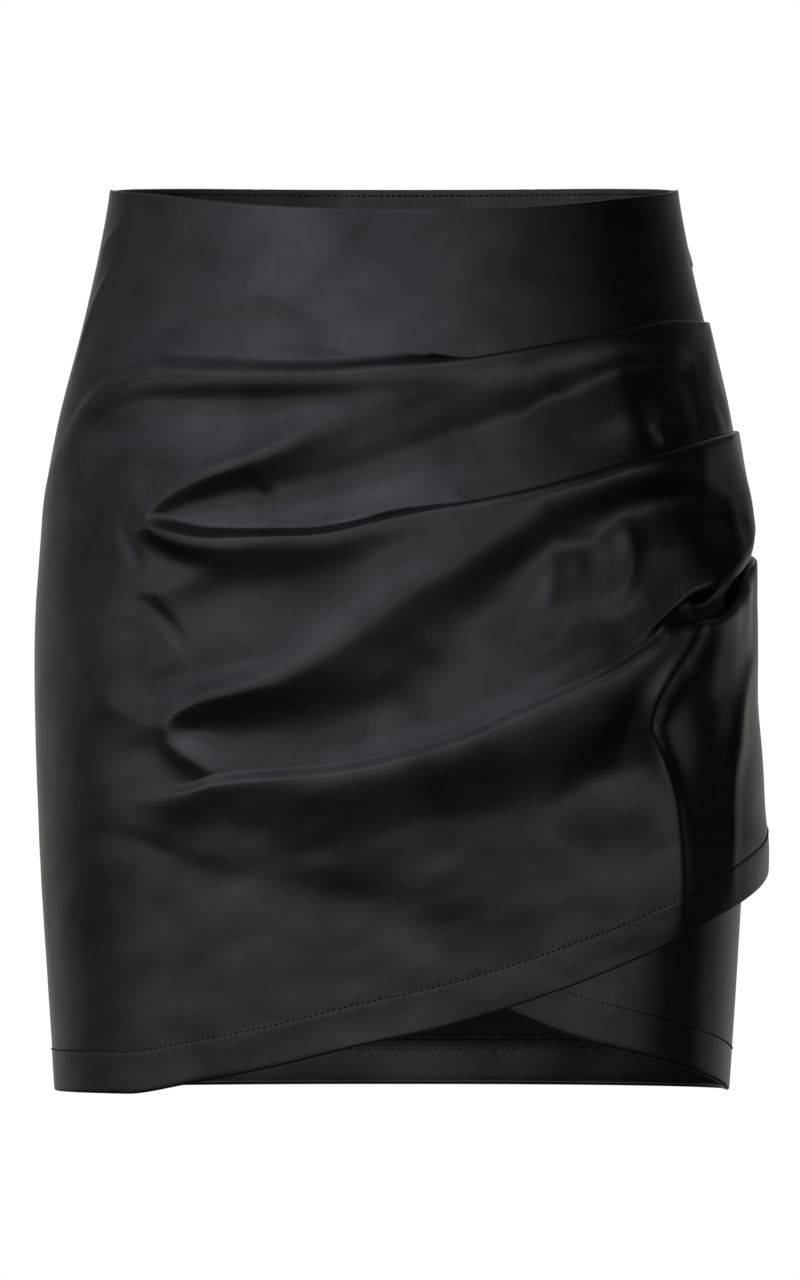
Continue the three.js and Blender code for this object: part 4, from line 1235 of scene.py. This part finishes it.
def facing_top(across):
    """Waist line all round: the front's dips, the back's is nearly level."""
    wrapped = np.where(across > HIP_GIRTH / 2, across - HIP_GIRTH, across)
    behind = line(BACK_WAIST, wrapped % HIP_GIRTH)
    return np.where(np.abs(wrapped) < SEAM_ACROSS, line(WAIST_LINE, wrapped), behind)


UNDERSTITCHED = 2.2
UNDERSTITCH_GROOVE = (-0.2, 0.6)
FACING_WAVES = ((0.8, 13, 30, 41), (0.35, 6, 22, 42))


def facing_relief(across, down):
    """Puckers of the facing: upright ripples that start under the understitched edge. The facing
    hangs straight from the waist, so it stands away from the flaring wall."""
    below = down - facing_top(across)
    puckers = rise(below, 1.5, 6.5) * (waves(FACING_WAVES, across, down) - 0.6)
    hang = 0.17 * np.minimum(below, 18) - 0.05 * np.clip(below - 26, 0, 20)
    return puckers - hang + swell(below - UNDERSTITCHED, *UNDERSTITCH_GROOVE)


class SKIRT_OT_facing(bpy.types.Operator):
    """Waist facing inside, understitched below the edge"""

    bl_idname = "skirt.facing"
    bl_label = "Waist facing"

    def execute(self, context):
        cut, finish = context.scene.skirt_cut, context.scene.skirt_leather
        reach = ZIP_TAPE_WIDTH / 2 + SEAM_HALF_GAP
        across = seam_columns(SEAM_ACROSS + reach, HIP_GIRTH + SEAM_ACROSS - reach, 420)
        top = facing_top(across) + 0.3
        hem = facing_top(across) + FACING_DEPTH
        face, cloth = inside_face(across), FACING_CLOTH
        shape = panel_shape(cut, across, top, hem, face, 22, cloth, bumps=facing_relief)
        # The facing's leather is painted lighter than the outer leather: painted light.
        sides = [leather("Facing leather", finish, colour=FACING_PAINTED_LIGHT_COLOUR, dull=0.22)] * 2
        piece = finish_wall("waist_facing_cloth", cut, across, shape, top, hem, sides, cloth=cloth)
        settle(piece, "facing", "waist_facing")
        return {"FINISHED"}


def sewn_line(name, across, down, lift, material, length, pitch, thick, lean=0.0, outward=1):
    """Row of stitches along a line on the cloth, their sizes in mm. Each stitch is a small spindle,
    bowed so that its ends go into the cloth: with t from -1 to 1 along it, its height over the
    cloth is (1 - 1.6 t²) of its radius. outward is -1 for stitches on the cloth's inside."""
    path = body_point(across, down, lift)
    out = body_point(across, down, lift + 1) - path
    gone = np.concatenate([[0], np.cumsum(np.linalg.norm(np.diff(path, axis=0), axis=1))])
    middles = np.arange(pitch * MM / 2, gone[-1] - pitch * MM / 2, pitch * MM)

    def place(values, at):
        return np.stack([np.interp(at, gone, values[:, k]) for k in range(3)], axis=-1)

    centre = place(path, middles)
    tangent = unit(place(path, middles + 0.0004) - place(path, middles - 0.0004))
    normal = unit(place(out, middles) * outward)
    side = np.cross(tangent, normal)
    turned = tangent * math.cos(lean) + side * math.sin(lean)
    side = np.cross(turned, normal)
    radius = thick * MM / 2
    t = np.array([-1, -0.72, 0, 0.72, 1])[:, None]
    width = np.array([0.25, 0.85, 1, 0.85, 0.25])[:, None, None] * radius
    spine = turned[:, None] * t * length * MM / 2 + normal[:, None] * radius * (1 - 1.6 * t**2)
    around = np.arange(SPINDLE_SIDES)[:, None] * 2 * np.pi / SPINDLE_SIDES
    ring = np.cos(around) * side[:, None, None] + np.sin(around) * normal[:, None, None]
    points = (centre[:, None] + spine)[:, :, None] + ring * width
    ids = np.arange(points.size // 3).reshape(points.shape[:-1])
    a, b = ids[:, :-1], ids[:, 1:]
    quads = np.stack([a, b, np.roll(b, -1, 2), np.roll(a, -1, 2)], axis=-1).reshape(-1, 4)
    ends = [ids[:, 0], ids[:, -1][:, ::-1]]
    return put_mesh(name, points, [quads, *ends], [material])


def loose_thread(name, across, down, lift, thick, material):
    """Round thread along a line, closed at both ends: at each step a ring of points at
    side * cos a + up * sin a, times the thread's radius."""
    path = body_point(across, down, lift)
    tangent = unit(np.gradient(path, axis=0))
    side = unit(np.cross(tangent, body_point(across, down, lift + 1) - path))
    up = np.cross(side, tangent)
    around = np.arange(SPINDLE_SIDES)[:, None] * 2 * np.pi / SPINDLE_SIDES
    ring = np.cos(around) * side[:, None] + np.sin(around) * up[:, None]
    points = path[:, None] + thick * MM / 2 * ring
    ids = np.arange(len(path) * SPINDLE_SIDES).reshape(len(path), SPINDLE_SIDES)
    a, b = ids[:-1], ids[1:]
    quads = np.stack([a, b, np.roll(b, -1, 1), np.roll(a, -1, 1)], axis=-1).reshape(-1, 4)
    return put_mesh(name, points, [quads, ids[:1], ids[-1:, ::-1]], [material])


class SKIRT_OT_stitches(bpy.types.Operator):
    """Topstitching of the three hems and the facing's understitching"""

    bl_idname = "skirt.stitches"
    bl_label = "Stitching"

    def execute(self, context):
        scene = context.scene
        cut, sewn = scene.skirt_cut, scene.skirt_stitches
        stitch = (thread("Black thread", tuple(sewn.colour)), sewn.length, sewn.pitch, sewn.thread)
        front = np.linspace(2 - SEAM_ACROSS, SEAM_ACROSS - 2, 1400)
        down = line(OVER_HEM, front) - cut.hem + 1
        height = drape_base(front, down) + sum(pleat_part(rows, front, down) for rows in PLEATS.values())
        lift = front_lift(cut, front, down, height, down)
        settle(sewn_line("over_hem_stitches", front, down, lift, *stitch), "leather")
        down = line(UNDER_HEM, front) - cut.hem + 1
        lift = np.full(front.shape, -LAYER_GAP - 0.1)
        settle(sewn_line("under_hem_stitches", front, down, lift, *stitch), "leather")
        back = np.linspace(SEAM_ACROSS + 2, HIP_GIRTH - SEAM_ACROSS - 2, 1200)
        down = np.full(back.shape, LENGTH - cut.inside_hem)
        lift = cut.cloth + back_relief(back, down) - 0.2
        settle(sewn_line("back_hem_stitches", back, down, lift, *stitch), "leather")
        reach = ZIP_TAPE_WIDTH / 2 + 1
        inside = np.linspace(SEAM_ACROSS + reach, HIP_GIRTH + SEAM_ACROSS - reach, 2400)
        down = facing_top(inside) + UNDERSTITCHED
        lift = inside_face(inside) + facing_relief(inside, down) - FACING_CLOTH
        settle(sewn_line("understitching", inside, down, lift, *stitch, outward=-1), "facing")
        return {"FINISHED"}


# The overlocked edge's rows: name, distance below the edge, stitch length, pitch, thickness, lean.
OVERLOCK_ROWS = (
    ("overlock_slants", 3.0, 5.8, 1.9, 0.5, 0.85),
    ("overlock_cross_slants", 3.0, 5.8, 1.9, 0.5, -0.85),
    ("overlock_upper_row", 0.3, 1.9, 2.2, 0.6, 0.0),
    ("overlock_lower_row", 6.0, 2.2, 2.8, 0.6, 0.0),
)
LOOSE_END_ACROSS = 410.4


class SKIRT_OT_hem_edge(bpy.types.Operator):
    """Overlocked edge of the back's turned-up hem, seen inside, with its loose thread end"""

    bl_idname = "skirt.hem_edge"
    bl_label = "Inside hem edge"

    def execute(self, context):
        cut = context.scene.skirt_cut
        grey = thread("Overlock thread", OVERLOCK_COLOUR, 0.4)
        back = np.linspace(SEAM_ACROSS + 8, HIP_GIRTH - SEAM_ACROSS - 8, 1600)
        edge = LENGTH - cut.inside_hem
        for name, below, *sizes in OVERLOCK_ROWS:
            down = np.full(back.shape, edge + below)
            lift = back_relief(back, down) - cut.cloth
            settle(sewn_line(name, back, down, lift, grey, *sizes, outward=-1), "tape")
        # The thread's cut end hangs below the strip.
        fall = np.linspace(0, 1, 40)
        across = LOOSE_END_ACROSS + 2.6 * fall + 1.4 * np.sin(5 * fall)
        lift = np.full(fall.shape, -cut.cloth - 0.5)
        end = loose_thread("loose_thread_end", across, edge + 5 + 5.5 * fall, lift, 0.34, grey)
        settle(end, "tape")
        return {"FINISHED"}


class SKIRT_OT_zip(bpy.types.Operator):
    """Zip tape with its coil, and the finish of the slider and pull tab"""

    bl_idname = "skirt.zip"
    bl_label = "Zip"

    def execute(self, context):
        cut = context.scene.skirt_cut
        half = ZIP_TAPE_WIDTH / 2
        across = seam_columns(SEAM_ACROSS - half, SEAM_ACROSS + half, 26)
        top, hem = np.full(across.shape, ZIP_TOP), np.full(across.shape, ZIP_TOP + ZIP_LENGTH)
        face = inside_face(SEAM_ACROSS)
        shape = panel_shape(cut, across, top, hem, face, 70, TAPE_CLOTH)
        woven = backing("Zip tape weave", TAPE_COLOUR, 1900, 0.8)
        tape = finish_wall("zip_tape_cloth", cut, across, shape, top, hem, [woven, woven], cloth=TAPE_CLOTH)
        settle(tape, "tape", "zip_tape")
        down = np.linspace(ZIP_TOP + 14, ZIP_TOP + ZIP_LENGTH - 4, 600)
        middle, lift = np.full(down.shape, SEAM_ACROSS), np.full(down.shape, face + 0.1)
        thick = context.scene.skirt_stitches.thread
        coil = sewn_line("zip_coil", middle, down, lift, woven, 2.6, 0.95, thick, math.pi / 2)
        settle(coil, "tape")
        metal = lacquered_metal("Black lacquer", LACQUER_COLOUR)
        for name in ("zip_slider", "zip_pull"):
            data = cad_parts[name].data
            data.materials.clear()
            data.materials.append(metal)
        return {"FINISHED"}


# Studio light round the skirt. at is the direction's azimuth, 0 towards the camera and positive
# towards the zip side, and level is how bright it is there.
BAND_ROUND = table(
    "at level",
    (-180, 0.45), (-158, 0.38), (-140, 0.42), (-125, 0.42), (-105, 0.3), (-92, 0.3), (-84, 0.44),
    (-76, 0.72), (-66, 0.97), (-58, 1), (52, 1), (62, 0.7), (70, 0.2), (77, 0.06), (100, 0.05), (112, 0.32),
    (145, 0.48), (160, 0.4), (180, 0.45),
)
BAND_UP = table(
    "at level",
    (-90, 0.05), (-40, 0.06), (-26, 0.1), (-17, 0.24), (-10, 0.52), (-4, 0.78), (1, 0.66), (5, 0.4),
    (10, 0.18), (16, 0.1), (30, 0.06), (90, 0.04),
)
BOX_ROUND = table(
    "at level",
    (-180, 0.35), (-155, 0.15), (-125, 0.15), (-105, 0.35), (-90, 0.42), (-72, 0.52), (-52, 0.82), (-38, 1),
    (-14, 1), (6, 0.84), (20, 0.5), (34, 0.2), (50, 0.07), (64, 0), (150, 0.05), (180, 0.35),
)
BOX_UP = table(
    "at level",
    (-90, 0), (-4, 0), (1, 0.16), (6, 0.45), (12, 0.74), (19, 0.9), (28, 1.15), (42, 1.15), (58, 0.75),
    (90, 0.45),
)
CLOUD_SCALE = 7.0
CLOUD_DEPTH = 0.55
# The colour of the band's light and of the box's, as shares of red, green and blue.
BAND_TINT = (1.02, 1.0, 0.97)
BOX_TINT = (0.94, 0.98, 1.08)
CAMERA_ACROSS = 0.0027
CAMERA_HEIGHT = -0.205
FLOOR_REACH = 6.0
PICTURE_HEIGHT_PX = 1280
SKIRT_HEIGHT_PX = 900


def level_ramp(tree, rows, value, low, high, place):
    """Brightness from a table, as a colour ramp over the value between low and high."""
    span = node(tree, "ShaderNodeMapRange", place)
    tree.links.new(value, span.inputs["Value"])
    span.inputs["From Min"].default_value, span.inputs["From Max"].default_value = low, high
    ramp = node(tree, "ShaderNodeValToRGB", (place[0] + 200, place[1]))
    ramp.color_ramp.interpolation = "EASE"
    stops = ramp.color_ramp.elements
    for at, level in zip(rows["at"], rows["level"]):
        spot = (math.radians(at) - low) / (high - low)
        stop = stops[0] if at == rows["at"][0] else stops[-1] if at == rows["at"][-1] else stops.new(spot)
        stop.position = spot
        stop.color = (level, level, level, 1)
    tree.links.new(span.outputs["Result"], ramp.inputs["Fac"])
    return ramp.outputs["Color"]


class SKIRT_OT_stage(bpy.types.Operator):
    """Pale floor, soft studio light and the camera of the square front view"""

    bl_idname = "skirt.stage"
    bl_label = "Stage"

    def execute(self, context):
        scene, stage = context.scene, context.scene.skirt_stage
        world = bpy.data.worlds.new("Studio")
        world.use_nodes = True
        scene.world = world
        tree = world.node_tree
        direction = node(tree, "ShaderNodeTexCoord", (-1300, 0)).outputs["Generated"]
        parts = node(tree, "ShaderNodeSeparateXYZ", (-1100, 0))
        tree.links.new(direction, parts.inputs[0])
        forward = maths(tree, "MULTIPLY", (-950, -80), parts.outputs["Y"], -1.0)
        elevation = maths(tree, "ARCSINE", (-950, -250), parts.outputs["Z"])
        azimuth = maths(tree, "ARCTAN2", (-950, 100), parts.outputs["X"], forward)
        lamps = []
        for rows_round, rows_up, y in ((BAND_ROUND, BAND_UP, 200), (BOX_ROUND, BOX_UP, -300)):
            round_level = level_ramp(tree, rows_round, azimuth, -math.pi, math.pi, (-600, y))
            up_level = level_ramp(tree, rows_up, elevation, -math.pi / 2, math.pi / 2, (-600, y - 250))
            lamps.append(maths(tree, "MULTIPLY", (-150, y), round_level, up_level))
        noise = "ShaderNodeTexNoise"
        cloud = pattern(tree, noise, (-600, -800), direction, in_Scale=CLOUD_SCALE, in_Detail=2.0).outputs[0]
        uneven = maths(tree, "MULTIPLY_ADD", (-400, -800), cloud, 2 * CLOUD_DEPTH, 1 - CLOUD_DEPTH)
        lamps = [maths(tree, "MULTIPLY", (-100, 200 - 500 * k), lamp, uneven) for k, lamp in enumerate(lamps)]
        light = node(tree, "ShaderNodeCombineColor", (250, -100))
        for k, (band, box) in enumerate(zip(BAND_TINT, BOX_TINT)):
            part = maths(tree, "MULTIPLY", (0, -60 * k), lamps[0], band * stage.light)
            both = maths(tree, "MULTIPLY_ADD", (120, -60 * k), lamps[1], box * stage.light, part)
            tree.links.new(both, light.inputs[k])
        seen = node(tree, "ShaderNodeLightPath", (60, 250)).outputs["Is Camera Ray"]
        mix, shown = colour_mix(tree, seen, (260, 100))
        tree.links.new(light.outputs[0], mix.inputs["A"])
        mix.inputs["B"].default_value = (1, 1, 1, 1)
        tree.links.new(shown, tree.nodes["Background"].inputs["Color"])
        scene.view_settings.view_transform = "Standard"

        pale, floor_tree, shader = new_material("Pale floor")
        speckle = node(floor_tree, "ShaderNodeTexNoise", (-500, 0), in_Scale=6.0)
        tone = shaded(floor_tree, speckle.outputs[0], (1, 1, 1), 0.78, 0.84, (-300, 0))
        floor_tree.links.new(tone, shader.inputs["Base Color"])
        shader.inputs["Roughness"].default_value = 0.9
        shader.inputs["Emission Color"].default_value = (1, 1, 1, 1)
        shader.inputs["Emission Strength"].default_value = stage.floor_glow
        corner = np.array([[-1, -1], [1, -1], [1, 1], [-1, 1]]) * FLOOR_REACH
        points = np.concatenate([corner, np.full((4, 1), stage.floor)], axis=1)
        floor = put_mesh("floor", points, [np.array([[0, 1, 2, 3]])], [pale])
        floor.visible_glossy = floor.visible_diffuse = False

        camera = bpy.data.cameras.new("Camera")
        camera.sensor_width = 36.0
        height = LENGTH * MM * PICTURE_HEIGHT_PX / SKIRT_HEIGHT_PX
        camera.lens = camera.sensor_width * stage.distance / height
        camera.clip_end = 100
        eye = bpy.data.objects.new("Camera", camera)
        eye.location = (CAMERA_ACROSS, -stage.distance, CAMERA_HEIGHT)
        eye.rotation_euler = (math.pi / 2, 0, 0)
        scene.collection.objects.link(eye)
        scene.camera = eye
        return {"FINISHED"}


class SKIRT_PT_pieces(bpy.types.Panel):
    """Lists the skirt's sizes and pieces"""

    bl_label = "Wrap skirt"
    bl_idname = "SKIRT_PT_pieces"
    bl_space_type = "VIEW_3D"
    bl_region_type = "UI"
    bl_category = "Skirt"

    def draw(self, context):
        for name, kind in GROUPS.items():
            box = self.layout.box()
            for key in kind.__annotations__:
                box.prop(getattr(context.scene, name), key)
        for operator in PIECES:
            self.layout.operator(operator.bl_idname)


GROUPS = {
    "skirt_leather": SkirtLeather,
    "skirt_cut": SkirtCut,
    "skirt_stitches": SkirtStitches,
    "skirt_stage": SkirtStage,
}
PIECES = (
    SKIRT_OT_stage,
    SKIRT_OT_over_front,
    SKIRT_OT_under_front,
    SKIRT_OT_back,
    SKIRT_OT_facing,
    SKIRT_OT_zip,
    SKIRT_OT_stitches,
    SKIRT_OT_hem_edge,
)


def register():
    """Registers the classes and hangs the groups of sizes on the scene."""
    for kind in (*GROUPS.values(), *PIECES, SKIRT_PT_pieces):
        bpy.utils.register_class(kind)
    for key, group in GROUPS.items():
        setattr(bpy.types.Scene, key, PointerProperty(type=group))


def unregister():
    """Takes away what register added."""
    for key in GROUPS:
        delattr(bpy.types.Scene, key)
    for kind in (SKIRT_PT_pieces, *reversed(PIECES), *GROUPS.values()):
        bpy.utils.unregister_class(kind)


def main():
    """Builds every piece and the stage."""
    register()
    for operator in PIECES:
        module, name = operator.bl_idname.split(".")
        getattr(getattr(bpy.ops, module), name)()


if __name__ == "__main__":
    main()
